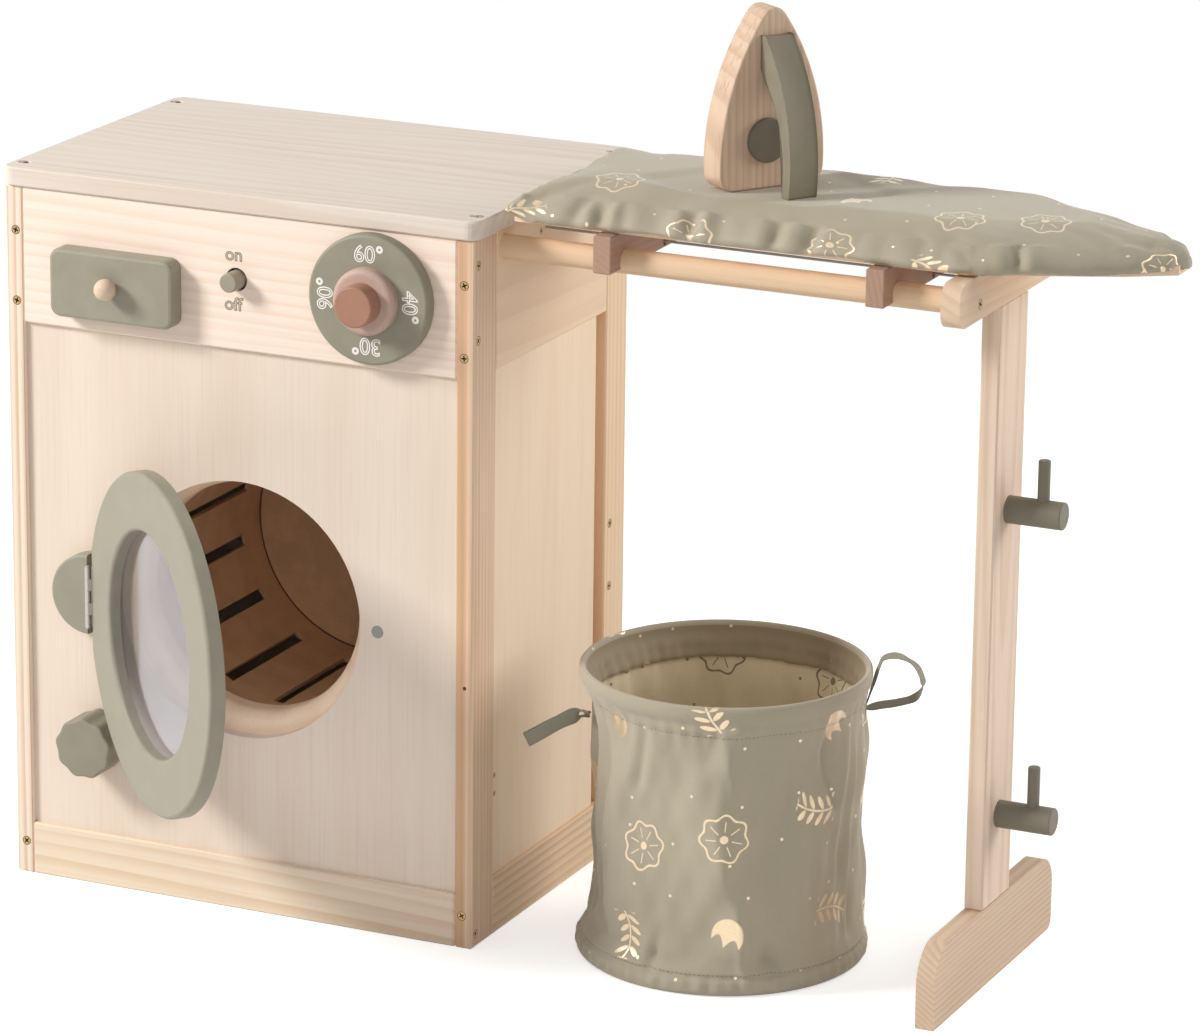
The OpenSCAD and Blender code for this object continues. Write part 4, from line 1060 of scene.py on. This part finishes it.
def pad_shell():
    """A closed pillow a little smaller than the cover: rings of the outline, drawn inward by the section's
    amounts at its heights, closed on the board's top and at its own top by rings that shrink to a line."""
    count = 220
    flat, _ = pad_edge(count)
    spine = np.stack([np.clip(flat[:, 0], PAD_LEFT + 0.07, PAD_SHOULDER + 0.03), 0 * flat[:, 0]], 1)
    reach = np.linalg.norm(spine - flat, axis=1)[:, None]
    rings = []

    def add(inward, share, height):
        ring = flat + (spine - flat) * np.minimum(inward * MM / reach, 0.92)
        ring = spine + (ring - spine) * share
        rings.append(np.c_[ring[:, 0], ring[:, 1] + PAD_MIDDLE, np.full(count, PAD_HEM + height * MM)])

    for share in (0.02, 0.3, 0.6, 0.85):
        add(PAD_SECTION[0][0], share, PAD_SECTION[0][1])
    for inward, height in PAD_SECTION:
        add(inward, 1.0, height)
    for share in (0.8, 0.5, 0.2, 0.02):
        add(PAD_SECTION[-1][0], share, PAD_SECTION[-1][1])
    ends = [rings[0].mean(0), rings[-1].mean(0)]
    return np.concatenate(rings + [ends]), capped_faces(len(rings), count)


def puffed(made):
    """Remeshes the pillow, then lets air push its cloth out for twenty frames while the underside stays put;
    no point ends further than SIM_CAP from where it began. Last it is subdivided once."""
    remesh = made.modifiers.new("remesh", "REMESH")
    remesh.mode, remesh.voxel_size = "VOXEL", VOXEL
    carry_out(made)
    before = coordinates(made.data)
    held = made.vertex_groups.new(name="held")
    held.add(np.flatnonzero(before[:, 2] < PAD_HEM + 0.007).tolist(), 1.0, "REPLACE")
    cloth = made.modifiers.new("cloth", "CLOTH").settings
    cloth.quality = 6
    cloth.mass = 0.15
    cloth.tension_stiffness = cloth.compression_stiffness = 18
    cloth.bending_stiffness = 0.6
    cloth.use_pressure = True
    cloth.uniform_pressure_force = 4.0
    cloth.vertex_group_mass = "held"
    cloth.effector_weights.gravity = 0
    scene = bpy.context.scene
    for frame_number in range(1, SIM_FRAMES + 1):
        scene.frame_set(frame_number)
    blown = worked_out(made)
    made.modifiers.clear()
    scene.frame_set(1)
    moved = coordinates(blown) - before
    far = np.linalg.norm(moved, axis=1)[:, None]
    capped = before + moved * np.minimum(1, SIM_CAP / np.maximum(far, 1e-9))
    made.data.vertices.foreach_set("co", capped.ravel())
    made.vertex_groups.clear()
    finer = made.modifiers.new("finer", "SUBSURF")
    finer.levels = finer.render_levels = 1
    carry_out(made)


def carry_out(made):
    """Puts an object's modifiers into its mesh."""
    finished = worked_out(made)
    made.modifiers.clear()
    made.data = finished


# Folds in the cover's edge: place along it from the front left corner, lean, length, width and depth, all in
# millimetres. The back has the front's folds again, mirrored. The left end has its own, from its back corner.
FRONT_FOLDS = (
    (18, 8, 26, 7, 1.0), (52, 13, 30, 4.5, 2.6), (71, 12, 26, 4, 2.4), (76, -16, 34, 4.5, 3.0),
    (93, -9, 24, 4, 1.6), (116, 5, 20, 7, 0.8), (141, 3, 30, 4, 2.4), (146, -20, 36, 5, 2.6),
    (166, -10, 24, 5, 1.3), (203, 12, 28, 4, 2.0), (208, -13, 36, 4.5, 2.6), (230, 10, 30, 4, 2.2),
    (234, -7, 24, 4, 1.6), (262, 9, 26, 6, 1.2), (288, -6, 22, 6, 0.9), (318, -14, 40, 6, 2.0),
    (331, -9, 34, 5, 1.6), (352, 6, 22, 6, 0.8), (381, 12, 30, 4, 2.2), (388, -8, 22, 4, 1.6),
    (420, 6, 24, 8, 0.8), (452, -6, 22, 8, 0.7), (474, 5, 20, 5, 1.2), (487, -4, 20, 4, 1.6),
    (498, 5, 20, 4, 1.4),
)
END_FOLDS = ((8, 5, 26, 5, 2.2), (31, -6, 32, 5, 1.8), (58, 8, 26, 6, 1.4), (88, -5, 34, 5, 1.8),
             (118, 7, 26, 6, 1.5), (146, -6, 30, 5, 2.0), (163, 5, 22, 4, 2.2))
END_LONG = 170
MIRROR_LONG = 182 - 3
# x and y of their middle, direction, width, depth
TOP_FOLDS = ((445, -6, 0.50, 9, 0.9), (470, 22, 0.62, 10, 0.8), (505, 30, 0.45, 12, 0.7))


def dress_pad(made):
    """Works the cover's folds in after the cloth has been puffed. For each point it finds the nearest place
    on the outline, how far along the edge that is and how far up from the hem; each fold is a groove with a
    soft ridge on each side, which starts at the hem, leans as it climbs and dies away. Slow and fine
    unevenness is added, the nose's lower side is drawn in, three shallow folds cross the top, and the two
    corners by the cabinet are drawn out. settle_pad then fits the cover to its neighbours."""
    points = coordinates(made.data)
    outward = normals(made.data)
    edge, along = pad_edge(1400)
    local = points[:, :2] - (0, PAD_MIDDLE)
    nearest = np.concatenate([((block[:, None] - edge[None]) ** 2).sum(2).argmin(1)
                              for block in np.array_split(local, 40)])
    place = along[nearest] / MM
    whole = along[-1] / MM + (along[1] - along[0]) / MM
    inside = np.linalg.norm(local - edge[nearest], axis=1) / MM
    z = points[:, 2] / MM
    rise = np.clip(z - PAD_HEM / MM, 0, 30)
    climb = rise * 0.8 + np.where(z > PAD_TOP / MM - 8, inside, 0)
    mirrored = tuple((whole - MIRROR_LONG - start, -lean, length * 0.9, width * 1.1, depth * 0.9)
                     for start, lean, length, width, depth in FRONT_FOLDS)
    left_end = tuple((whole - END_LONG + start, *fold) for start, *fold in END_FOLDS)
    push = np.zeros(len(points))
    for start, lean, length, width, depth in FRONT_FOLDS + mirrored + left_end:
        width, depth = width * 1.25, depth * 1.15
        off = (place - start - lean * (climb / length) + whole / 2) % whole - whole / 2
        fade = 1 - step_up(climb, length * 0.35, length * 1.25)
        grow = 0.45 + 0.55 * step_up(climb, 0, 10)
        push += fade * grow * depth * (-swell(off, 0, width) + 0.55 * swell(off, width * 1.9, width * 1.5)
                                       + 0.45 * swell(off, -width * 2.1, width * 1.6))
    x, y = points[:, 0] / MM, points[:, 1] / MM
    upper = step_up(z, PAD_HEM / MM + 1, PAD_HEM / MM + 7)
    push *= step_up(z, PAD_HEM / MM - 2, PAD_HEM / MM + 5)
    push += soft_noise(x, y, z * 0.5, 31, 10, 80.0) * 0.55 * upper
    push += soft_noise(x, y, z * 0.5, 17, 12, 24.0) * 0.28 * upper * (1 - step_up(inside, 14, 46))
    sag = 2.2 * step_up(x, 590, 680) * (1 - step_up(z, 556, 566))
    points += outward * ((push - sag * step_up(inside, 30, 0)) * MM)[:, None]
    # shallow folds across the top beside the iron
    for x0, y0, turn, width, depth in TOP_FOLDS:
        off = (x - x0) * math.sin(turn) - (y - y0) * math.cos(turn)
        way = (x - x0) * math.cos(turn) + (y - y0) * math.sin(turn)
        wave = swell(off, width, width) - swell(off, -width, width)
        points[:, 2] += (z > 560) * swell(way, 0, 46) * wave * depth * MM
    # the drawn corners by the cabinet
    for side, pull in ((-1, 1.0), (1, 0.6)):
        near = swell(x, PAD_LEFT / MM, 15) * swell(y, (PAD_MIDDLE + side * PAD_HALF) / MM, 15)
        mid = swell(z, 549, 7)
        points[:, 0] -= near * mid * 2.5 * pull * MM
        points[:, 1] += near * mid * 5.0 * pull * side * MM
        points[:, 2] += near * (549.5 - z) * 0.55 * pull * MM
    settle_pad(points, place)
    made.data.vertices.foreach_set("co", points.ravel())
    made.data.update()
    lie = np.stack([x, y], 1)
    drop = np.clip(PAD_TOP / MM - 6 - z, 0, 40)[:, None]
    way = outward[:, :2] / np.maximum(np.linalg.norm(outward[:, :2], axis=1), 1e-6)[:, None]
    set_uv(made, lie + way * drop)


def settle_pad(points, place):
    """Keeps the cover clear of its neighbours: above the board inside the board's outline, above the
    battens and the crosspiece, under the iron's sole; elsewhere the hem hangs a little lower in slow
    waves."""
    x, y = points[:, 0], points[:, 1]
    reach = np.abs(y - PAD_MIDDLE)
    board = np.interp(x, BOARD_X, BOARD_HALF)
    over_board = reach < board
    points[:, 2] = np.where(over_board, np.maximum(points[:, 2], BOARD_TOP + HAIR), points[:, 2])
    wave = (0.8 * np.sin(place / 23.0) + 0.5 * np.sin(place / 11.3 + 1.0)) * MM
    low = step_up(PAD_HEM + 0.005 - points[:, 2], 0, 0.005)
    drop = low * ~over_board * wave
    for near_x in (*BATTENS_X, CROSSPIECE_X):
        drop = drop * (1 - step_up(SUPPORT_HALF + 0.006 - np.abs(x - near_x), 0, 0.006))
    points[:, 2] -= drop
    floor = np.where(np.abs(x - CROSSPIECE_X) < 0.009, HEM_OVER_CROSSPIECE, HEM_ELSEWHERE)
    points[:, 2] = np.maximum(points[:, 2], floor)
    ahead = Vector((math.cos(IRON_TURN), math.sin(IRON_TURN)))
    dx, dy = x - IRON_AT.x, y - IRON_AT.y
    along, across = dx * ahead.x + dy * ahead.y, dy * ahead.x - dx * ahead.y
    under = step_up(PRESSED - np.abs(along), 0, 0.018) * step_up(PRESSED - np.abs(across), 0, 0.018)
    ceiling = IRON_AT.z - HAIR + (1 - under) * 0.0022
    points[:, 2] = np.minimum(points[:, 2], ceiling)


def make_cover():
    """The padded cover: a pillow, puffed, folded and fitted over the board."""
    points, faces = pad_shell()
    made = piece("ironing_pad", points, faces, "ironing_board", MOTIF_CLOTH, ("ironing_cover",))
    puffed(made)
    made.data.materials.clear()
    made.data.materials.append(MOTIF_CLOTH)
    set_smooth(made.data, True)
    dress_pad(made)


make_cover()

# ---------------------------------------------------------------- laundry basket

# millimetres: the underside's height, the floor's height above it, the cloth's thickness, the facing's depth
# and the seams' heights
BASKET_ROOT = 0.2
BASKET_FLOOR = 1.4
WALL_T = 1.1
FACING = 26.0
TOP_SEAM = 194.0
BOTTOM_SEAM = 13.5
# the wall's print is laid out on a circle of this radius and ends before WALL_PRINT_END; the underside and
# the floor are printed round a point this far along
PRINT_R = 100.0
WALL_PRINT_END = 700.0
FLOOR_PRINT = 900.0
# which cloth a ring shows: the printed side, its reverse, or the facing, whose darker cloth is painted shade
PRINTED, REVERSE, FACED = 0, 1, 2
FRONT = math.radians(294.6)
SEAM_SIDE = math.radians(25)
WALL_FOLDS = (
    # degrees round, how far it stands out, width in degrees, foot and top in millimetres, and its lean in
    # radians over 60 mm
    (264.5, -3.4, 2.6, 12, 46, 0.10), (301.0, 1.7, 1.9, 10, 74, -0.05), (312.5, -3.0, 3.4, 12, 44, -0.12),
    (343.0, -2.4, 3.0, 120, 196, -0.16), (350.0, 1.5, 2.4, 70, 200, 0.05), (358.0, 1.7, 2.4, 24, 190, 0.02),
    (366.0, -1.8, 3.6, 20, 182, 0.04), (288.0, -2.2, 4.0, 168, 200, 0.10), (296.0, 1.7, 1.8, 150, 192, -0.12),
    (255.0, -1.9, 3.0, 140, 198, 0.14), (240.0, 1.3, 6.0, 30, 170, 0.0), (224.0, -2.2, 5.0, 40, 196, 0.03),
    (209.0, -2.6, 3.2, 30, 206, -0.03), (199.0, 2.0, 3.0, 20, 190, 0.0), (182.0, -2.4, 6.0, 16, 150, 0.06),
    (160.0, 1.8, 5.0, 60, 200, -0.05), (141.0, -2.2, 5.0, 14, 120, 0.08), (118.0, 1.9, 4.0, 90, 200, 0.05),
    (96.0, -2.6, 6.0, 18, 160, -0.05), (70.0, 1.6, 4.0, 14, 90, 0.10), (48.0, -2.2, 5.0, 60, 196, 0.0),
    (25.0, 1.2, 2.5, 30, 185, 0.0), (327.0, 1.2, 5.0, 20, 150, 0.03),
)


def off_from(theta, angle):
    """How far an angle is from another, the shorter way round."""
    return (theta - angle + np.pi) % (2 * np.pi) - np.pi


def bent_wall(theta, z):
    """The basket's outer radius at an angle and a height. It is the hoop's radius at both ends; between
    them the cloth draws in, most on the side away from the right-hand loop. To that are added a rolled rim
    over the wire with a crease under it, a groove at each seam, a puffed bottom hem with small gathers,
    small tucks along the top seam, one wandering upright ridge at the front with a hollow on each side, the
    narrower folds listed above, which fade up and down the wall, and slow and fine unevenness."""
    hoop = BASKET_R / MM
    drawn = 5.0 - 2.9 * np.cos(theta - SEAM_SIDE)
    between = step_up(z, 12, 26) * (1 - step_up(z, 188, 212))
    radius = hoop - 0.2 - drawn * between
    body = step_up(z, 16, 44) * (1 - step_up(z, 168, 205))
    crest = FRONT + np.radians(0.6 + 4.2 * np.sin(z / 29.0 + 0.4) - 0.02 * (z - 110))
    away = off_from(theta, crest)
    tent = 12.0 * np.exp(-np.sqrt((away / 0.21) ** 2 + 0.01)) - 3.4
    radius += body * (tent - 2.0 * swell(away, -0.42, 0.20) - 2.8 * swell(away, 0.40, 0.24))
    for degrees, height, width, low, high, lean in WALL_FOLDS:
        middle = np.radians(degrees) + lean * (z - (low + high) / 2) / 60.0
        fade = step_up(z, low - 6, low + 12) * (1 - step_up(z, high - 26, high + 6))
        radius += 1.8 * height * fade * swell(off_from(theta, middle), 0.0, np.radians(width))
    rolled = swell(z, 210.5, 7.5) * 1.1 - swell(z, 202.5, 2.6) * 0.9
    puffed_hem = np.where(z < BOTTOM_SEAM, np.sin(np.pi * np.clip(z / BOTTOM_SEAM, 0, 1)) ** 0.7 * 1.5, 0.0)
    gathers = np.sin(theta * 61 + 1.3 * np.sin(theta * 7)) * 0.35 + np.sin(theta * 37) * 0.2
    gathers = gathers * 1.8 * step_up(z, 2, 6) * (1 - step_up(z, 9, 19))
    radius += rolled + puffed_hem + gathers
    radius -= 1.6 * swell(z, BOTTOM_SEAM + 0.6, 1.5) + 0.55 * swell(z, TOP_SEAM, 1.3)
    tug = np.sin(theta * 53 + 2.0 * np.sin(theta * 5)) * 0.55 * swell(z, TOP_SEAM, 9.0)
    slow = soft_noise(np.cos(theta) * 100, np.sin(theta) * 100, z * 0.5, 21, 10, 55.0) * 2.0
    fine = soft_noise(np.cos(theta) * 100, np.sin(theta) * 100, z * 0.35, 8, 12, 17.0) * 0.8
    return radius + tug + (slow + fine) * step_up(z, 14, 30) * (1 - step_up(z, 196, 208))


def make_basket():
    """The basket's cloth as one closed skin: rings that start at the middle of the underside, go out to the
    edge, up the outer wall, over the rim, down the folded-in facing and the wall's inner side, and back to
    the middle of the floor. The outer rings take their radius from bent_wall; the inner ones are that
    radius less the cloth's thickness, or less the whole hem where it is turned in."""
    columns = 240
    theta = np.arange(columns) * 2 * np.pi / columns
    hoop, top = BASKET_R / MM, BASKET_H / MM
    rings, flat, cloth = [], [], []

    def ring(radius, z, along, shows):
        rings.append((np.broadcast_to(radius, theta.shape), np.broadcast_to(z, theta.shape)))
        flat.append(np.stack([theta * PRINT_R, np.full(columns, along)], 1))
        cloth.append(shows)

    def disc(z, reach, shows):
        """The underside, which is flat, or the floor, which is slightly wavy and runs inward."""
        steps = (0.06, 0.2, 0.36, 0.52, 0.66, 0.78, 0.87, 0.94, 0.98)
        wavy = 0.5 if shows == REVERSE else 0.0
        for share in (steps[::-1] if shows == REVERSE else steps):
            r = share * reach
            rings.append((r + 0 * theta, z + wavy * np.sin(3 * theta) * share * (1 - share)))
            flat.append(np.stack([np.cos(theta) * r + FLOOR_PRINT, np.sin(theta) * r], 1))
            cloth.append(shows)

    disc(BASKET_ROOT, hoop - 3.0, PRINTED)
    low_edge = np.concatenate([[0.5, 1.6], np.linspace(3.2, 19.0, 13)])
    wall = np.concatenate([low_edge, np.linspace(22.5, 186.0, 46), np.linspace(189.0, top - 3.2, 16)])
    tall = bent_wall(theta[None, :], wall[:, None])
    for k, z in enumerate(wall):
        ring(tall[k] - (1.7 if z < 1 else 0.5 if z < 2 else 0), z, z, PRINTED)
    outer_top = tall[-1]
    roll = 2.6
    for a in np.radians((28, 58, 90, 122, 152)):
        ring(outer_top - roll + roll * math.cos(a), top - 3.2 + 3.2 * math.sin(a), top + roll * a, PRINTED)
    facing_low = top - FACING
    for z in np.linspace(top - 3.4, facing_low, 9):
        inset = 5.2 - 1.2 * float(step_up(z, top - 8, facing_low))
        ring(bent_wall(theta, np.full(columns, z)) - inset, z, 2 * top - z + 6, FACED)
    facing_edge = bent_wall(theta, np.full(columns, facing_low - 0.6)) - 3.1
    ring(facing_edge, facing_low - 0.5, top + FACING + 7, FACED)
    low_inside = [18.0, 15.0, 12.0, 8.0, 4.5]
    for z in np.concatenate([[facing_low - 1.0], np.linspace(facing_low - 4.0, 22.0, 40), low_inside]):
        inset = WALL_T + 2.6 * float(1 - step_up(z, 12, 17))
        ring(bent_wall(theta, np.full(columns, z)) - inset, z, z, REVERSE)
    disc(BASKET_ROOT + BASKET_FLOOR, hoop - 5.0, REVERSE)
    radius, height = (np.array([r[i] for r in rings]) for i in (0, 1))
    points = np.stack([BASKET_AT[0] / MM + radius * np.cos(theta), BASKET_AT[1] / MM + radius * np.sin(theta),
                       height], -1).reshape(-1, 3)
    ends = [(BASKET_AT[0] / MM, BASKET_AT[1] / MM, z) for z in (BASKET_ROOT, BASKET_ROOT + BASKET_FLOOR)]
    made = piece("basket_skin", np.concatenate([points, ends]) * MM, capped_faces(len(rings), columns),
                 "basket", MOTIF_CLOTH, ("basket_cloth", "basket_wires"))
    # the reverse is paler than the printed side: painted light coming through the thin wall
    made.data.materials.append(satin_cotton("cotton_reverse_painted_light", colour=(0.72, 0.62, 0.43), reverse=True))
    # the facing is the printed cloth darkened as painted shade under the rim, where the hem lies doubled
    made.data.materials.append(satin_cotton("cotton_facing_painted_shade", colour=(0.31, 0.25, 0.16)))
    which = np.repeat(cloth[:-1] + [PRINTED, REVERSE], columns)
    made.data.polygons.foreach_set("material_index", which)
    set_uv(made, np.concatenate(flat + [[(FLOOR_PRINT, 0.0)] * 2]))
    wrap_seam(made, 2 * np.pi * PRINT_R)
    return made


def wrap_seam(made, turn):
    """On the quads that close each ring, the corners at its start read one whole turn further along."""
    layer = made.data.uv_layers[WEAVE]
    uv = np.empty(len(layer.data) * 2, np.float32)
    layer.data.foreach_get("uv", uv)
    uv = uv.reshape(-1, 2)
    starts, sizes = np.empty((2, len(made.data.polygons)), int)
    made.data.polygons.foreach_get("loop_start", starts)
    made.data.polygons.foreach_get("loop_total", sizes)
    furthest = np.repeat(np.maximum.reduceat(uv[:, 0], starts), sizes)
    on_wall = (uv[:, 0] < WALL_PRINT_END) & (furthest < WALL_PRINT_END)
    far = on_wall & (furthest - uv[:, 0] > turn / 2)
    uv[far, 0] += turn
    layer.data.foreach_set("uv", uv.ravel())


def stitches(name, at, along, out, length, thick, body, material):
    """A row of stitches: each is a bead of ten points, fat in the middle, that lies along its own
    direction."""
    ring = np.array([(math.cos(a), math.sin(a)) for a in np.radians((45, 135, 225, 315))])
    shape = np.concatenate([[(-0.5, 0, 0)], np.c_[np.full(4, -0.28), ring * 0.5],
                            np.c_[np.full(4, 0.28), ring * 0.5], [(0.5, 0, 0)]])
    faces = [(0, 2, 1), (0, 3, 2), (0, 4, 3), (0, 1, 4), (9, 5, 6), (9, 6, 7), (9, 7, 8), (9, 8, 5),
             (1, 2, 6, 5), (2, 3, 7, 6), (3, 4, 8, 7), (4, 1, 5, 8)]
    side = np.cross(out, along)
    points = (at[:, None] + shape[None, :, :1] * length * along[:, None]
              + shape[None, :, 1:2] * thick * side[:, None] + shape[None, :, 2:] * thick * 0.7 * out[:, None])
    corners = [tuple(i + len(shape) * k for i in f) for k in range(len(at)) for f in faces]
    return piece(name, points.reshape(-1, 3) * MM, corners, body, material)


def seam_on_wall(name, z, pitch, material):
    """Stitches round the basket at one height, just sunk in the cloth."""
    count = int(2 * np.pi * PRINT_R / pitch)
    angle = np.arange(count) * 2 * np.pi / count
    radius = bent_wall(angle, np.full(count, z)) - 0.05
    at = np.stack([BASKET_AT[0] / MM + radius * np.cos(angle), BASKET_AT[1] / MM + radius * np.sin(angle),
                   np.full(count, z)], 1)
    out = np.stack([np.cos(angle), np.sin(angle), 0 * angle], 1)
    return stitches(name, at, np.cross((0, 0, 1), out), out, pitch * 0.68, 0.62, "basket", material)


def ribbon(name, path, width_way, width, thick, body, material):
    """A flat closed tape: at each point of the path its section is a lozenge-ended bar, width across and
    thick through, turned to lie along width_way."""
    count = len(path)
    ahead = np.roll(path, -1, 0) - np.roll(path, 1, 0)
    ahead /= np.linalg.norm(ahead, axis=1)[:, None]
    across = width_way - (width_way * ahead).sum(1)[:, None] * ahead
    across /= np.linalg.norm(across, axis=1)[:, None]
    through = np.cross(ahead, across)
    section = np.array([(-0.5, 0), (-0.46, 0.5), (-0.2, 0.42), (0.2, 0.42), (0.46, 0.5),
                        (0.5, 0), (0.46, -0.5), (0.2, -0.42), (-0.2, -0.42), (-0.46, -0.5)])
    points = (path[:, None] + section[None, :, :1] * width[:, None, None] * across[:, None]
              + section[None, :, 1:] * thick * through[:, None])
    faces = grid_faces(count, len(section))
    wrap = grid_faces(2, len(section))
    wrap = np.where(wrap < len(section), wrap + (count - 1) * len(section), wrap - len(section))
    made = piece(name, points.reshape(-1, 3) * MM, np.concatenate([faces, wrap]), body, material)
    print_across = np.tile(section[:, 0] * 12.0, count)
    print_along = np.repeat(np.arange(count) * 1.6, len(section))
    set_uv(made, np.stack([print_across, print_along], 1))
    rounder = made.modifiers.new("rounder", "SUBSURF")
    rounder.levels = rounder.render_levels = 1
    return made


def smooth_path(points, count):
    """A closed path through the points, evenly spaced, by Catmull-Rom cubics."""
    points = np.array(points, float)
    t = np.arange(count * 4) / (count * 4) * len(points)
    i, u = t.astype(int), (t % 1)[:, None]
    a, b, c, d = (points[(i + k) % len(points)] for k in (-1, 0, 1, 2))
    return evenly(0.5 * (2 * b + (c - a) * u + (2 * a - 5 * b + 4 * c - d) * u ** 2
                         + (3 * b - a - 3 * c + d) * u ** 3), count)[0]


def make_loops():
    """Two tape loops sewn into the side seams. The right one stands up and out with its edge to the front;
    the left one hangs, twisted half over at its root so that its flat side shows. Each path's points are
    how far out from the basket's axis, how high, and how far aside, in millimetres."""
    tape = satin_cotton("cotton_tape", print_on=False, colour=(0.25, 0.235, 0.18))
    standing = ("right", 25, ((101.5, 184, 0), (112, 185.6, 1), (123.5, 187.8, 0), (136, 192.0, -1),
                              (141.9, 199.8, 0), (141.6, 205.5, 1), (138.5, 213.0, 1), (131.5, 219.9, 0),
                              (122.5, 223.4, 0), (113.6, 221.4, 1), (110.2, 215.5, 0), (106.8, 204.0, 0),
                              (103.2, 192.0, 0)))
    hanging = ("left", 205, ((98.0, 177.5, 2), (104.0, 180.5, 4), (112, 177.2, 6), (124, 170.5, 7),
                             (136, 162.8, 6), (142.6, 158.0, 2), (142.2, 157.0, -3), (134, 160.5, -7),
                             (122, 167.2, -7), (110, 173.0, -5), (102.5, 175.0, -3)))
    up = np.array((0, 0, 1))
    for side, degrees, knots in (standing, hanging):
        a = math.radians(degrees)
        out, tangent = np.array((math.cos(a), math.sin(a), 0)), np.array((-math.sin(a), math.cos(a), 0))
        local = smooth_path(knots, 96)
        middle = np.array((*BASKET_AT, 0)) / MM
        path = middle + local[:, :1] * out + local[:, 2:] * tangent
        path[:, 2] += local[:, 1]
        reach = (local[:, 0] - local[:, 0].min()) / (local[:, 0].max() - local[:, 0].min())
        if side == "right":
            roll = np.radians(14 * np.sin(local[:, 1] / 7.0) + 34 * step_up(reach, 0.72, 1.0))
            flat_way = (tangent * np.cos(roll)[:, None] + out * np.sin(roll)[:, None] * 0.6
                        + up * np.sin(roll)[:, None])
        else:
            level = 1 - step_up(reach, 0.05, 0.30)
            flat_way = (up * (1 - level)[:, None] + out * 0.45 * (1 - level)[:, None]
                        + tangent * (level + 0.15)[:, None])
        width = 11.5 - 5.5 * (1 - step_up(reach, 0.0, 0.16))
        made = ribbon("basket_loop_" + side, path, flat_way, width, 0.9, "basket", tape)
        if side == "right":
            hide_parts("basket_loops")


def make_basket_set():
    """The cloth skin with its two rows of stitches, and the loops."""
    skin = make_basket()
    sewn = thread_finish("sewing_thread", (0.235, 0.205, 0.150))
    rows = [seam_on_wall("basket_top_stitches", TOP_SEAM, 3.0, sewn),
            seam_on_wall("basket_bottom_stitches", BOTTOM_SEAM + 2.2, 3.2, sewn)]
    make_loops()


make_basket_set()

# ---------------------------------------------------------------- light and floor

FLOOR_HALF = 1.6
FLOOR_GLOW = 0.56
WORLD_FILL = 0.38
# what the side and front lights face
MIDDLE = (0.1, 0.0, 0.30)


def area_light(name, at, towards, width, height, power, colour):
    """A soft box that faces a point."""
    data = bpy.data.lights.new(name, "AREA")
    data.shape, data.size, data.size_y = "RECTANGLE", width, height
    data.energy, data.color = power, colour
    aim = (Vector(towards) - Vector(at)).to_track_quat("-Z", "Y")
    show(name, data).matrix_world = Matrix.Translation(at) @ aim.to_matrix().to_4x4()


def make_floor():
    """A pale sheet under the object, larger than its shadow. It is lit like the rest, and to the eye it
    also glows just enough to be white where nothing shades it."""
    f = Finish("floor")
    cloud = f.noise(f.place(), 0.004, 2.0)
    f.finish(f.mix(cloud, (0.78, 0.78, 0.78), (0.80, 0.80, 0.80)), 0.9, specular=0.0)
    f.shader.inputs["Emission Color"].default_value = (1, 1, 1, 1)
    f.join(f.seen_directly() * FLOOR_GLOW, f.shader.inputs["Emission Strength"])
    mesh = bpy.data.meshes.new("floor")
    corners = [(x * FLOOR_HALF, y * FLOOR_HALF, 0) for x, y in ((-1, -1), (1, -1), (1, 1), (-1, 1))]
    mesh.from_pydata(corners, [], [(0, 1, 2, 3)])
    mesh.materials.append(f.material)
    show("floor", mesh)


def make_world():
    """White to the eye, a soft grey fill to everything else."""
    world = bpy.data.worlds.new("studio")
    world.use_nodes = True
    bpy.context.scene.world = world
    f = Nodes(world.node_tree, "ShaderNodeOutputWorld")
    mixed = f.add("ShaderNodeMixShader")
    f.join(f.seen_directly(), mixed.inputs[0])
    for slot, colour, strength in ((1, (1.0, 0.99, 0.97, 1), WORLD_FILL), (2, (1, 1, 1, 1), 1.0)):
        light = f.add("ShaderNodeBackground")
        light.inputs["Color"].default_value = colour
        light.inputs["Strength"].default_value = strength
        f.join(light.outputs[0], mixed.inputs[slot])
    f.join(mixed.outputs[0], f.output.inputs["Surface"])


make_floor()
make_world()
area_light("key", (-2.18, -1.70, 2.08), (0.10, 0.0, 0.28), 0.8, 0.8, 99, (1.0, 0.985, 0.96))
area_light("side", (2.20, 1.35, 1.33), MIDDLE, 1.6, 1.6, 34, (1.0, 0.98, 0.95))
area_light("front", (1.15, -2.30, 1.10), MIDDLE, 1.2, 1.2, 6.5, (1.0, 0.99, 0.97))

# ---------------------------------------------------------------- end

bpy.context.scene.view_settings.view_transform = "Standard"
bpy.context.view_layer.update()
